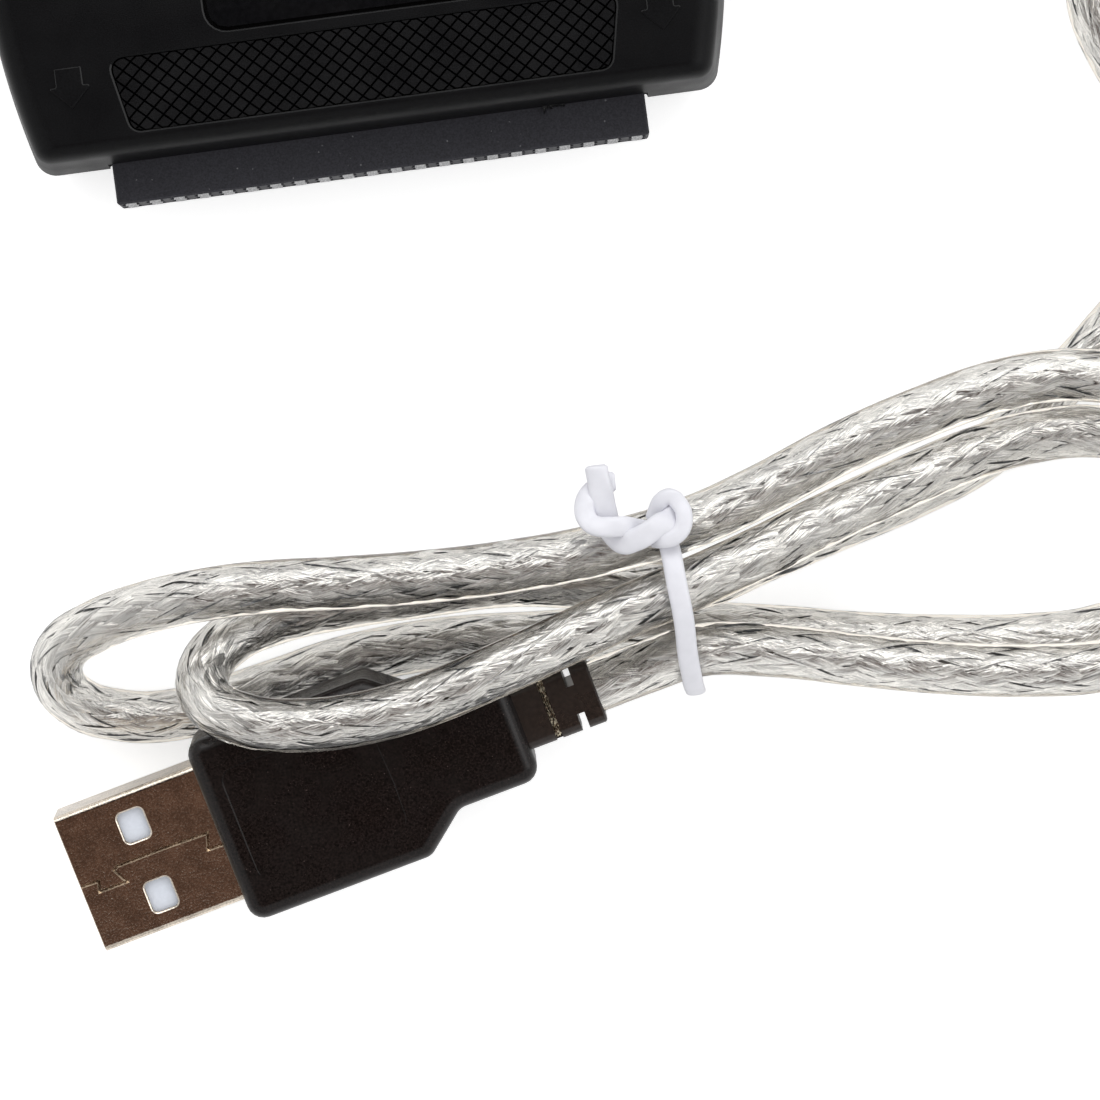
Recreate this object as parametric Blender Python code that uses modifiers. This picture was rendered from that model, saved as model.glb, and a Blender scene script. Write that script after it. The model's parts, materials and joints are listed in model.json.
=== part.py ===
"""Drive adapter with a 44-pin socket, a 40-pin socket, a SATA port and a tied USB cable.

Metres, +Z up. The origin is under the middle of the case, on the surface that it lies on.
+X is the side where the cable leaves and -Y is the front, with the 44-pin socket.
"""

import math

import bmesh
import bpy
from mathutils import Matrix, Vector

MM = 0.001
CLEARANCE = 0.3 * MM
OVERSHOOT = 1.0 * MM

# Case
CASE_WIDTH = 61.4 * MM
CASE_DEPTH = 38.4 * MM
CASE_HEIGHT = 15.6 * MM
PARTING_HEIGHT = 7.75 * MM
SIDE_BOW_RADIUS = 68 * MM
CORNER_RADIUS = 1.8 * MM
WALL = 1.8 * MM
TOP_FILLET = 1.5 * MM
TOP_DRAFT = 0.5 * MM
BOTTOM_FILLET = 1.0 * MM
BOTTOM_TAPER = 1.2 * MM
SEAM_STEP = 0.2 * MM
LIP_WALL = 0.8 * MM
LIP_OUTER_INSET = 1.3 * MM
LIP_HEIGHT = 0.9 * MM
BOW_STEPS = 5
CORNER_STEPS = 4
FILLET_STEPS = 4

# Grips, arrows and label on the lid
GRIP_TOP_WIDTH = 41.5 * MM
GRIP_BOTTOM_WIDTH = 39.0 * MM
GRIP_HEIGHT = 6.1 * MM
GRIP_MARGIN = 1.9 * MM
GRIP_CORNER = 1.0 * MM
GRIP_PEAK_DEPTH = 0.2 * MM
GRIP_VALLEY_DEPTH = 0.6 * MM
KNURL_PITCH_X = 1.4 * MM
KNURL_PITCH_Y = 1.3 * MM
RECESS_CHAMFER = 0.2 * MM
ARROW_RISE = 0.15 * MM
ARROW_EDGE = 0.1 * MM
ARROW_ROOT = 0.25 * MM
ARROW_X = 24.0 * MM
ARROW_TIP_MARGIN = 4.4 * MM
ARROW_HEAD_WIDTH = 3.5 * MM
ARROW_HEAD_LENGTH = 1.8 * MM
ARROW_SHAFT_WIDTH = 2.2 * MM
ARROW_SHAFT_LENGTH = 1.5 * MM
LABEL_WIDTH = 25.0 * MM
LABEL_LENGTH = 20.4 * MM
LABEL_CORNER = 1.8 * MM
LABEL_THICKNESS = 0.4 * MM
LABEL_RECESS = 0.8 * MM

# Pin-strip sockets: pitch, columns, width, height and length of the housing
SOCKET_REACH = 3.2 * MM
SOCKET_INSIDE = 5.0 * MM
SOCKET_EDGE = 0.15 * MM
ROWS = 2
FRONT_PITCH = 2.0 * MM
FRONT_COLUMNS = 22
FRONT_HEIGHT = 4.0 * MM
BACK_PITCH = 2.54 * MM
BACK_COLUMNS = 20
BACK_HEIGHT = 5.1 * MM
HOLE_SHARE_MOUTH = 0.72
HOLE_SHARE_BORE = 0.42
HOLE_CHAMFER = 0.45 * MM
HOLE_DEPTH = 5.5 * MM
KEY_WIDTH = 4.2 * MM
KEY_RISE = 0.9 * MM

# SATA port in the left wall
SATA_WIDTH = 15.4 * MM
SATA_HEIGHT = 6.0 * MM
SATA_LENGTH = 9.3 * MM
SATA_RECESS = 0.3 * MM
SATA_CAVITY_WIDTH = 11.2 * MM
SATA_CAVITY_HEIGHT = 3.4 * MM
SATA_CAVITY_DEPTH = 6.5 * MM
SATA_TONGUE_WIDTH = 9.4 * MM
SATA_TONGUE_THICKNESS = 1.2 * MM
SATA_TONGUE_LENGTH = 6.0 * MM
SATA_HOOK_DROP = 1.1 * MM
SATA_CONTACTS = 7
SATA_CONTACT_PITCH = 1.0 * MM
SATA_CONTACT_SIZE = (4.6 * MM, 0.6 * MM, 0.2 * MM)
SATA_EDGE = 0.2 * MM

# Circuit board and what is soldered to it: name, size, place as a share of the board's half width and a
# distance from its middle line, bevel
BOARD_THICKNESS = 1.6 * MM
SOLDER_GAP = CLEARANCE
CHIPS = {
    "bridge_chip": ((10.0, 10.0, 1.4), (0.09, -1.0), 0.25),
    "drive_buffer_chip": ((7.5, 5.4, 1.5), (-0.33, 4.6), 0.25),
    "memory_chip": ((5.0, 4.0, 1.5), (-0.33, -6.0), 0.25),
    "regulator_chip": ((6.5, 3.6, 1.6), (0.5, 9.0), 0.25),
    "clock_crystal": ((11.4, 4.6, 3.4), (0.28, -9.8), 1.2),
}
CAPACITOR_RADIUS = 2.5 * MM
CAPACITOR_HEADROOM = 0.75 * MM
CAPACITOR_END_MARGIN = 0.9 * MM
CAPACITOR_SIDE_MARGIN = 2.8 * MM

# Screws from below, their bosses and the counterbores
LEFT_SCREW_MARGIN = 15.1 * MM
RIGHT_SCREW_MARGIN = 17.3 * MM
SCREW_RADIUS = 1.0 * MM
SCREW_HEAD_RADIUS = 1.9 * MM
SCREW_HEAD_HEIGHT = 1.2 * MM
SCREW_HEAD_DEPTH = 1.0 * MM
SCREW_TIP_RADIUS = 0.5 * MM
SCREW_TIP_GAP = 0.6 * MM
SCREW_BITE = 3.6 * MM
LOWER_BOSS_RADIUS = 3.2 * MM
UPPER_BOSS_RADIUS = 2.4 * MM
BOSS_ROOT = 0.4 * MM
DRIVE_SLOT = (2.2 * MM, 0.5 * MM, 0.6 * MM)

# Cable and its moulded sleeve at the case
CABLE_RADIUS = 2.2 * MM
CABLE_STEPS = 76
SLEEVE_RADIUS = 3.1 * MM
SLEEVE_END_RADIUS = 2.8 * MM
SLEEVE_GROOVE = 0.6 * MM
SLEEVE_LENGTH = 14.0 * MM
SLEEVE_COLLAR_RADIUS = 4.2 * MM
SLEEVE_COLLAR_LENGTH = 1.6 * MM
SLEEVE_GROOVES = 4
WIRE_RADIUS = 0.4 * MM
WIRE_PITCH = 1.5 * MM
WIRE_PITCH_IN_SLEEVE = 1.0 * MM
WIRE_SPAN = 2.8 * MM
WIRE_LANDING = 3.4 * MM
WIRE_NAMES = ("power_wire", "data_minus_wire", "data_plus_wire", "ground_wire")

# USB plug, along its own axis from the front edge of its shell
PLUG_TIP = Vector((-32.65, -77.05, 5.9)) * MM
PLUG_HEADING = math.radians(13.1)
PLUG_PITCH = math.radians(1.5)
PLUG_ROLL = math.radians(8.0)
SHELL_WIDTH = 12.0 * MM
SHELL_HEIGHT = 4.5 * MM
SHELL_SHEET = 0.3 * MM
SHELL_BEND = 0.5 * MM
SHELL_REACH = 12.25 * MM
SHELL_SEAT = 4.0 * MM
WINDOW_SIZE = (2.1 * MM, 2.5 * MM)
WINDOW_FROM_FRONT = 6.1 * MM
WINDOW_OFFSET = 3.1 * MM
TONGUE_THICKNESS = 1.8 * MM
TONGUE_RECESS = 0.5 * MM
USB_CONTACTS = 4
USB_CONTACT_PITCH = 2.3 * MM
USB_CONTACT_SIZE = (8.4 * MM, 1.0 * MM, 0.2 * MM)
MOULD_HALF_WIDTH = 8.0 * MM
MOULD_REAR_HALF_WIDTH = 4.8 * MM
MOULD_THICKNESS = 7.2 * MM
MOULD_WIDE_END = 28.0 * MM
MOULD_SLANT_END = 31.6 * MM
MOULD_END = 38.5 * MM
MOULD_EDGE = 1.6 * MM
RELIEF_RADIUS = 2.8 * MM
RELIEF_END = 45.5 * MM
RELIEF_SLOT = 0.7 * MM
RELIEF_SLOT_TOP = 41.0 * MM
RELIEF_SLOT_SIDE = 43.3 * MM
RELIEF_WEB = 1.2 * MM

# Tie
TIE_RADIUS = 0.55 * MM
TIE_STEPS = 44
TIE_TAIL_STEPS = 14

# The cable's route in millimetres, from the sleeve to the plug
OUT_OF_CASE = [
    (48.8, 0.0, 7.5), (55.0, -1.0, 6.6), (60.1, -4.9, 5.0), (61.4, -10.7, 3.6), (60.4, -15.5, 2.9),
    (61.5, -19.9, 2.5), (64.0, -25.7, 2.4), (64.6, -32.1, 2.4), (62.4, -38.5, 2.4), (57.5, -43.7, 2.4),
]
INNER_LOOP_UNDER = [
    (52.6, -47.6, 2.4), (46.5, -51.9, 2.4), (40.3, -54.3, 2.6), (34.1, -56.0, 3.4), (27.5, -57.8, 4.8),
    (20.5, -59.5, 6.2), (13.1, -58.4, 6.4), (5.8, -57.2, 6.2), (-0.9, -57.1, 6.0), (-7.6, -57.2, 5.8),
    (-13.8, -57.7, 6.0), (-17.9, -59.0, 7.4), (-20.1, -61.3, 9.4), (-19.7, -63.7, 11.6), (-16.7, -65.6, 13.1),
]
INNER_LOOP_OVER = [
    (-12.5, -66.5, 13.5), (-7.7, -66.6, 13.5), (-2.5, -65.9, 13.5), (3.2, -64.4, 13.3), (9.2, -62.6, 12.6),
    (14.8, -60.9, 11.8), (20.4, -59.4, 10.9), (26.4, -57.6, 9.9), (32.5, -55.5, 8.9), (38.7, -53.6, 8.0),
    (44.8, -51.9, 7.3), (50.3, -51.1, 7.0), (55.7, -51.4, 7.0),
]
INNER_TURN = [
    (59.3, -52.7, 6.6), (61.8, -55.4, 6.0), (62.4, -59.5, 5.2), (61.0, -63.7, 4.2), (58.0, -66.5, 3.2),
    (54.1, -67.8, 2.4),
]
OUTER_LOOP_UNDER = [
    (48.2, -67.8, 2.4), (41.3, -67.0, 2.4), (34.1, -65.8, 2.6), (26.7, -64.2, 3.2), (20.1, -63.1, 3.5),
    (14.3, -62.6, 3.2), (7.7, -62.2, 2.6), (1.0, -61.7, 2.3), (-4.2, -61.7, 2.3), (-9.6, -62.2, 2.3),
    (-14.6, -63.2, 2.3), (-20.0, -64.2, 2.3), (-24.5, -64.6, 2.4), (-28.2, -64.0, 2.6), (-31.2, -62.6, 3.2),
    (-32.6, -60.3, 4.4), (-31.8, -58.0, 5.8), (-28.7, -56.4, 7.2),
]
OUTER_LOOP_OVER = [
    (-24.2, -55.4, 8.6), (-19.5, -55.0, 9.9), (-14.5, -55.0, 10.5), (-8.0, -55.5, 10.6), (-1.4, -55.9, 10.6),
    (6.0, -56.0, 10.5), (13.5, -55.6, 10.1), (21.1, -54.4, 9.2), (27.1, -52.6, 8.8), (34.1, -50.0, 8.6),
    (41.0, -48.0, 8.6), (47.8, -46.6, 8.6), (52.9, -46.4, 8.5), (56.1, -46.9, 8.4),
]
OUTER_TURN = [
    (61.5, -48.3, 8.0), (65.5, -51.3, 7.4), (67.6, -56.2, 6.8), (67.3, -61.6, 6.4), (64.6, -66.6, 6.4),
    (59.6, -69.8, 6.8), (53.1, -70.6, 7.0),
]
INTO_PLUG = [
    (47.4, -70.2, 7.0), (40.6, -69.1, 7.0), (33.6, -67.5, 7.2), (26.3, -65.7, 7.8), (20.5, -64.9, 8.1),
]
CABLE_ROUTE = (
    OUT_OF_CASE + INNER_LOOP_UNDER + INNER_LOOP_OVER + INNER_TURN
    + OUTER_LOOP_UNDER + OUTER_LOOP_OVER + OUTER_TURN + INTO_PLUG
)

# The tie's loop round the bundle, and its twisted tail, in millimetres
TIE_LOOP = [
    (19.4, -51.7, 9.2), (19.6, -52.3, 11.7), (19.1, -53.9, 12.6), (18.9, -56.1, 13.6), (19.2, -59.1, 14.2),
    (19.4, -62.1, 13.0), (19.3, -65.0, 11.4), (19.4, -67.5, 9.4), (19.6, -68.3, 6.8), (19.7, -67.4, 3.6),
    (19.7, -65.4, 1.2), (19.8, -63.3, 0.6), (19.7, -60.7, 0.6), (19.5, -57.7, 1.4), (19.4, -54.7, 4.2),
    (19.2, -52.4, 6.6),
]
TIE_TAIL = [
    (18.9, -56.1, 13.8), (18.2, -55.5, 14.6), (17.1, -55.6, 14.6), (15.7, -55.8, 13.9), (14.6, -55.0, 13.7),
    (14.7, -52.9, 13.8), (14.4, -50.9, 13.9), (14.1, -49.0, 14.2),
]

HALF_SEAM = CLEARANCE / 2
CASE_X = CASE_WIDTH / 2
CASE_Y = CASE_DEPTH / 2
SCREW_PLACES = {
    "left_screw": (LEFT_SCREW_MARGIN - CASE_X, 0.0),
    "right_screw": (CASE_X - RIGHT_SCREW_MARGIN, 0.0),
}
SLEEVE_COLLAR_END_X = CASE_X - BOTTOM_TAPER - WALL - CLEARANCE
SLEEVE_INNER_X = SLEEVE_COLLAR_END_X - SLEEVE_COLLAR_LENGTH
BOARD_WIDTH = 2 * (SLEEVE_INNER_X - WIRE_SPAN)
BOARD_DEPTH = 2 * (CASE_Y - SOCKET_INSIDE - CLEARANCE)
BOARD_TOP = PARTING_HEIGHT + BOARD_THICKNESS / 2
BOARD_BOTTOM = PARTING_HEIGHT - BOARD_THICKNESS / 2
SATA_INNER_X = -CASE_X + SATA_RECESS + SATA_LENGTH
SLEEVE_END_X = CASE_X + SLEEVE_LENGTH
GRIP_CENTRE_Y = CASE_Y - GRIP_MARGIN - GRIP_HEIGHT / 2
FRONT_WIDTH = FRONT_PITCH * FRONT_COLUMNS
BACK_WIDTH = BACK_PITCH * BACK_COLUMNS

for leftover in list(bpy.data.objects):
    bpy.data.objects.remove(leftover)

scene_root = bpy.context.scene.collection
parts = bpy.data.collections.new("drive_adapter")
cutters = bpy.data.collections.new("cutters")
scene_root.children.link(parts)
scene_root.children.link(cutters)
cutters.hide_render = True


def material(name, colour, roughness, metallic=0.0):
    """A Principled material of one plain finish."""
    made = bpy.data.materials.new(name)
    made.use_nodes = True
    shader = made.node_tree.nodes["Principled BSDF"]
    shader.inputs["Base Color"].default_value = (*colour, 1.0)
    shader.inputs["Roughness"].default_value = roughness
    shader.inputs["Metallic"].default_value = metallic
    return made


BLACK_PLASTIC = material("black_case_plastic", (0.012, 0.012, 0.013), 0.5)
GLOSS_LABEL = material("gloss_label", (0.006, 0.006, 0.007), 0.12)
SOCKET_PLASTIC = material("slate_socket_plastic", (0.028, 0.028, 0.033), 0.55)
BOARD_GREEN = material("board_green", (0.01, 0.09, 0.03), 0.45)
CHIP_BLACK = material("chip_black", (0.015, 0.015, 0.016), 0.6)
CAN_METAL = material("can_metal", (0.62, 0.62, 0.64), 0.3, 1.0)
SCREW_STEEL = material("screw_steel", (0.35, 0.35, 0.37), 0.35, 1.0)
CONTACT_GOLD = material("contact_gold", (0.8, 0.55, 0.2), 0.3, 1.0)
CLEAR_CABLE = material("silver_braid_cable", (0.55, 0.55, 0.54), 0.3, 0.4)
PLUG_BLACK = material("plug_black", (0.012, 0.01, 0.01), 0.25)
PLUG_METAL = material("plug_shell_metal", (0.3, 0.2, 0.15), 0.3, 1.0)
PLUG_WHITE = material("plug_insulator_white", (0.75, 0.78, 0.82), 0.5)
TIE_WHITE = material("tie_white", (0.85, 0.85, 0.88), 0.4)
WIRE_RED = material("wire_red", (0.6, 0.02, 0.02), 0.4)
WIRE_WHITE = material("wire_white", (0.8, 0.8, 0.8), 0.4)
WIRE_GREEN = material("wire_green", (0.02, 0.35, 0.06), 0.4)
WIRE_BLACK = material("wire_black", (0.02, 0.02, 0.02), 0.4)
WIRE_MATERIALS = (WIRE_RED, WIRE_WHITE, WIRE_GREEN, WIRE_BLACK)


def add_object(name, mesh, finish=None):
    """A mesh as an object, a part when it has a finish and a cutter when it has none."""
    thing = bpy.data.objects.new(name, mesh)
    if finish is None:
        cutters.objects.link(thing)
        thing.hide_render = True
        thing.display_type = "WIRE"
    else:
        parts.objects.link(thing)
        mesh.materials.append(finish)
        mesh.shade_smooth()
        mesh.set_sharp_from_angle(angle=math.radians(35))
    return thing


def mesh_from(name, shape):
    mesh = bpy.data.meshes.new(name)
    bmesh.ops.recalc_face_normals(shape, faces=shape.faces)
    shape.to_mesh(mesh)
    shape.free()
    return mesh


def box(name, size, centre, finish=None, bevel=0.0, bevel_steps=2):
    """A box of this size about its centre, with rounded edges where a bevel is given."""
    shape = bmesh.new()
    bmesh.ops.create_cube(shape, size=1.0)
    bmesh.ops.scale(shape, vec=size, verts=shape.verts)
    thing = add_object(name, mesh_from(name, shape), finish)
    thing.location = centre
    if bevel:
        add_bevel(thing, bevel, bevel_steps)
    return thing


def add_bevel(thing, width, steps=2):
    bevel = thing.modifiers.new("rounded_edges", "BEVEL")
    bevel.width = width
    bevel.segments = steps
    bevel.limit_method = "ANGLE"
    bevel.angle_limit = math.radians(40)


def cylinder(name, radius, bottom, top, place, finish=None, sides=24):
    shape = bmesh.new()
    bmesh.ops.create_cone(
        shape, cap_ends=True, segments=sides, radius1=radius, radius2=radius, depth=top - bottom
    )
    thing = add_object(name, mesh_from(name, shape), finish)
    thing.location = (place[0], place[1], (top + bottom) / 2)
    return thing


def loft(name, rings, finish=None):
    """A closed solid through rings of equally many points, capped at both ends."""
    shape = bmesh.new()
    loops = [[shape.verts.new(point) for point in ring] for ring in rings]
    count = len(rings[0])
    for lower, upper in zip(loops, loops[1:]):
        for i in range(count):
            j = (i + 1) % count
            shape.faces.new((lower[i], lower[j], upper[j], upper[i]))
    shape.faces.new(loops[0])
    shape.faces.new(loops[-1])
    return add_object(name, mesh_from(name, shape), finish)


def prism(name, outline, bottom, top, finish=None):
    """A flat outline raised from one height to another."""
    return loft(name, [[(x, y, z) for x, y in outline] for z in (bottom, top)], finish)


def boolean(thing, other, operation="DIFFERENCE"):
    modifier = thing.modifiers.new(operation.lower(), "BOOLEAN")
    modifier.operation = operation
    modifier.object = other
    modifier.solver = "EXACT"


def turned(name, profile, finish, sides=24):
    """A profile of (radius, height) pairs turned about Z. It runs down from the top."""
    shape = bmesh.new()
    points = [shape.verts.new((radius, 0.0, height)) for radius, height in profile]
    for first, second in zip(points, points[1:]):
        shape.edges.new((first, second))
    mesh = bpy.data.meshes.new(name)
    shape.to_mesh(mesh)
    shape.free()
    thing = add_object(name, mesh, finish)
    screw = thing.modifiers.new("turned", "SCREW")
    screw.steps = sides
    screw.render_steps = sides
    screw.use_merge_vertices = True
    screw.merge_threshold = 0.01 * MM
    screw.use_smooth_shade = True
    return thing


def arc(centre, radius, start, end, steps):
    """Points on an arc, both ends included."""
    angles = [start + (end - start) * step / steps for step in range(steps + 1)]
    return [(centre[0] + radius * math.cos(a), centre[1] + radius * math.sin(a)) for a in angles]


def rounded_polygon(corners, radius, steps=3):
    """A convex outline whose corners are arcs of one radius."""
    outline = []
    count = len(corners)
    for i in range(count):
        corner = Vector(corners[i])
        before = (Vector(corners[i - 1]) - corner).normalized()
        after = (Vector(corners[(i + 1) % count]) - corner).normalized()
        half = before.angle(after) / 2
        centre = corner + (before + after).normalized() * radius / math.sin(half)
        start = corner + before * radius / math.tan(half) - centre
        end = corner + after * radius / math.tan(half) - centre
        turn = start.angle_signed(end)
        for step in range(steps + 1):
            outline.append(tuple(centre + Matrix.Rotation(-turn * step / steps, 2) @ start))
    return outline


def case_outline(inset):
    """The case's plan: straight front and back, bowed sides and rounded corners."""
    half_depth = CASE_Y - inset
    bow = SIDE_BOW_RADIUS - inset
    corner = max(CORNER_RADIUS - inset, CLEARANCE)
    bow_centre = CASE_X - inset - bow
    corner_y = half_depth - corner
    corner_x = bow_centre + math.sqrt((bow - corner) ** 2 - corner_y ** 2)
    tangent = math.atan2(corner_y, corner_x - bow_centre)
    quarter = arc((bow_centre, 0.0), bow, 0.0, tangent, BOW_STEPS)
    quarter += arc((corner_x, corner_y), corner, tangent, math.pi / 2, CORNER_STEPS)[1:]
    back = quarter + [(-x, y) for x, y in reversed(quarter)]
    return back + [(-x, -y) for x, y in back[1:-1]]


def case_ring(inset, height):
    return [(x, y, height) for x, y in case_outline(inset)]


def fillet_rings(inset, radius, start, end):
    """Rings round an edge, from upright at the start height to level at the end height."""
    rings = []
    for step in range(FILLET_STEPS + 1):
        angle = math.pi / 2 * step / FILLET_STEPS
        height = start + (end - start) * math.sin(angle)
        rings.append(case_ring(inset + radius * (1 - math.cos(angle)), height))
    return rings


# Case shells


def socket_slot(name, width, height, key_rise, y_sign):
    """The cut that lets a socket through a wall, from outside the wall to inside it."""
    size = (width + 2 * CLEARANCE, 4 * WALL, height + 2 * CLEARANCE)
    slot = box(name, size, (0.0, y_sign * CASE_Y, PARTING_HEIGHT))
    if key_rise:
        key = box(name + "_key", (KEY_WIDTH + 2 * CLEARANCE, 4 * WALL, height + 2 * key_rise),
                  (0.0, y_sign * CASE_Y, PARTING_HEIGHT + CLEARANCE))
        boolean(slot, key, "UNION")
    return slot


def wall_cutters():
    """What passes through both shells' walls: the two sockets, the SATA port and the sleeve."""
    sata = box("sata_slot", (4 * WALL, SATA_WIDTH + 2 * CLEARANCE, SATA_HEIGHT + 2 * CLEARANCE),
               (-CASE_X, 0.0, PARTING_HEIGHT))
    sleeve = cylinder("sleeve_hole", SLEEVE_RADIUS + CLEARANCE, -2 * WALL, 2 * WALL, (0.0, 0.0), sides=32)
    sleeve.location = (CASE_X, 0.0, PARTING_HEIGHT)
    sleeve.rotation_euler = (0.0, math.pi / 2, 0.0)
    return [
        socket_slot("front_slot", FRONT_WIDTH, FRONT_HEIGHT, 0.0, -1),
        socket_slot("back_slot", BACK_WIDTH, BACK_HEIGHT, 0.0, 1),
        sata,
        sleeve,
    ]


def grip_outline(y_sign, inset=0.0):
    """The grip's rounded trapezoid, wide towards the middle of the case."""
    wide = GRIP_TOP_WIDTH / 2 - inset
    narrow = GRIP_BOTTOM_WIDTH / 2 - inset
    half = GRIP_HEIGHT / 2 - inset
    near = y_sign * (GRIP_CENTRE_Y - half)
    far = y_sign * (GRIP_CENTRE_Y + half)
    corners = [(-wide, near), (wide, near), (narrow, far), (-narrow, far)]
    if y_sign < 0:
        corners.reverse()
    return rounded_polygon(corners, GRIP_CORNER - inset)


def knurl_cutter(name, y_sign):
    """A slab whose underside is a field of square pyramids, trimmed to the grip's outline."""
    columns = 2 * math.ceil(GRIP_TOP_WIDTH / KNURL_PITCH_X) + 2
    rows = 2 * math.ceil(GRIP_HEIGHT / KNURL_PITCH_Y) + 2
    top = CASE_HEIGHT + OVERSHOOT
    shape = bmesh.new()
    grid = []
    for row in range(rows + 1):
        y = y_sign * GRIP_CENTRE_Y + (row - rows / 2) * KNURL_PITCH_Y / 2
        line = []
        for column in range(columns + 1):
            x = (column - columns / 2) * KNURL_PITCH_X / 2
            depth = GRIP_VALLEY_DEPTH if (row + column) % 2 else GRIP_PEAK_DEPTH
            line.append(shape.verts.new((x, y, CASE_HEIGHT - depth)))
        grid.append(line)
    for row in range(rows):
        for column in range(columns):
            a, b = grid[row][column], grid[row][column + 1]
            c, d = grid[row + 1][column + 1], grid[row + 1][column]
            if (row + column) % 2:
                shape.faces.new((a, b, c))
                shape.faces.new((a, c, d))
            else:
                shape.faces.new((a, b, d))
                shape.faces.new((b, c, d))
    border = [edge for edge in shape.edges if edge.is_boundary]
    lifted = bmesh.ops.extrude_edge_only(shape, edges=border)["geom"]
    for vert in (item for item in lifted if isinstance(item, bmesh.types.BMVert)):
        vert.co.z = top
    lid = [edge for edge in shape.edges if edge.is_boundary]
    bmesh.ops.contextual_create(shape, geom=lid)
    slab = add_object(name, mesh_from(name, shape))
    trim = chamfered_cutter(name + "_trim", [grip_outline(y_sign), grip_outline(y_sign, -RECESS_CHAMFER)])
    boolean(slab, trim, "INTERSECT")
    return slab


def chamfered_cutter(name, outlines):
    """A prism through the lid's top that widens from the first outline to the second in the last of it."""
    levels = [
        (outlines[0], CASE_HEIGHT - LABEL_RECESS),
        (outlines[0], CASE_HEIGHT - RECESS_CHAMFER),
        (outlines[1], CASE_HEIGHT),
        (outlines[1], CASE_HEIGHT + 2 * OVERSHOOT),
    ]
    return loft(name, [[(x, y, z) for x, y in outline] for outline, z in levels])


def arrow_outline(x, y_sign, inset):
    """An arrow that points away from the middle of the case, its tip near the edge."""
    slope = ARROW_HEAD_LENGTH / (ARROW_HEAD_WIDTH / 2)
    slant = inset * math.sqrt(1 + slope ** 2)
    tip = CASE_Y - ARROW_TIP_MARGIN - slant
    base = CASE_Y - ARROW_TIP_MARGIN - ARROW_HEAD_LENGTH + inset
    tail = base - ARROW_SHAFT_LENGTH
    head = (tip - base) / slope
    shaft = ARROW_SHAFT_WIDTH / 2 - inset
    half = [(0.0, tip), (head, base), (shaft, base), (shaft, tail)]
    points = half + [(-px, py) for px, py in reversed(half[1:])]
    return [(x + px, y_sign * py) for px, py in points]


def raised_arrow(name, x, y_sign):
    """A flat arrow that stands a little on the lid, its top edges bevelled."""
    levels = [(0.0, CASE_HEIGHT - ARROW_ROOT), (0.0, CASE_HEIGHT + ARROW_RISE - ARROW_EDGE),
              (ARROW_EDGE, CASE_HEIGHT + ARROW_RISE)]
    return loft(name, [[(px, py, z) for px, py in arrow_outline(x, y_sign, inset)] for inset, z in levels])


def label_outline(inset=0.0):
    half_w = LABEL_WIDTH / 2 - inset
    half_l = LABEL_LENGTH / 2 - inset
    corners = [(-half_w, -half_l), (half_w, -half_l), (half_w, half_l), (-half_w, half_l)]
    return rounded_polygon(corners, LABEL_CORNER - inset)


def build_top_shell(openings):
    """The lid: a cup open below, with the grips, the arrows, the label's recess and two bosses."""
    rim = PARTING_HEIGHT + HALF_SEAM
    rabbet = LIP_OUTER_INSET - CLEARANCE
    rabbet_top = PARTING_HEIGHT + LIP_HEIGHT + CLEARANCE
    roof = CASE_HEIGHT - WALL
    rings = [
        case_ring(TOP_DRAFT + WALL, roof),
        case_ring(WALL, rabbet_top),
        case_ring(rabbet, rabbet_top),
        case_ring(rabbet, rim),
        case_ring(0.0, rim),
    ]
    rings += fillet_rings(TOP_DRAFT, TOP_FILLET, CASE_HEIGHT - TOP_FILLET, CASE_HEIGHT)
    lid = loft("top_shell", rings, BLACK_PLASTIC)
    for name, place in SCREW_PLACES.items():
        boss = cylinder(name + "_upper_boss", UPPER_BOSS_RADIUS, BOARD_TOP + CLEARANCE, roof + BOSS_ROOT,
                        place)
        boolean(lid, boss, "UNION")
        bore = cylinder(name + "_bore", SCREW_RADIUS + CLEARANCE, BOARD_TOP - CLEARANCE,
                        screw_tip() + SCREW_TIP_GAP, place, sides=16)
        boolean(lid, bore)
    for opening in openings:
        boolean(lid, opening)
    for side, y_sign in (("front", -1), ("back", 1)):
        boolean(lid, knurl_cutter(f"{side}_knurl", y_sign))
        for hand, x in (("left", -ARROW_X), ("right", ARROW_X)):
            boolean(lid, raised_arrow(f"{side}_{hand}_arrow", x, y_sign), "UNION")
    boolean(lid, chamfered_cutter("label_recess", [label_outline(), label_outline(-RECESS_CHAMFER)]))
    return lid


def screw_seat():
    """The height of the counterbore's floor, on which the screw's head bears."""
    return SCREW_HEAD_DEPTH + SCREW_HEAD_HEIGHT


def screw_tip():
    return BOARD_TOP + CLEARANCE + SCREW_BITE


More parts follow.
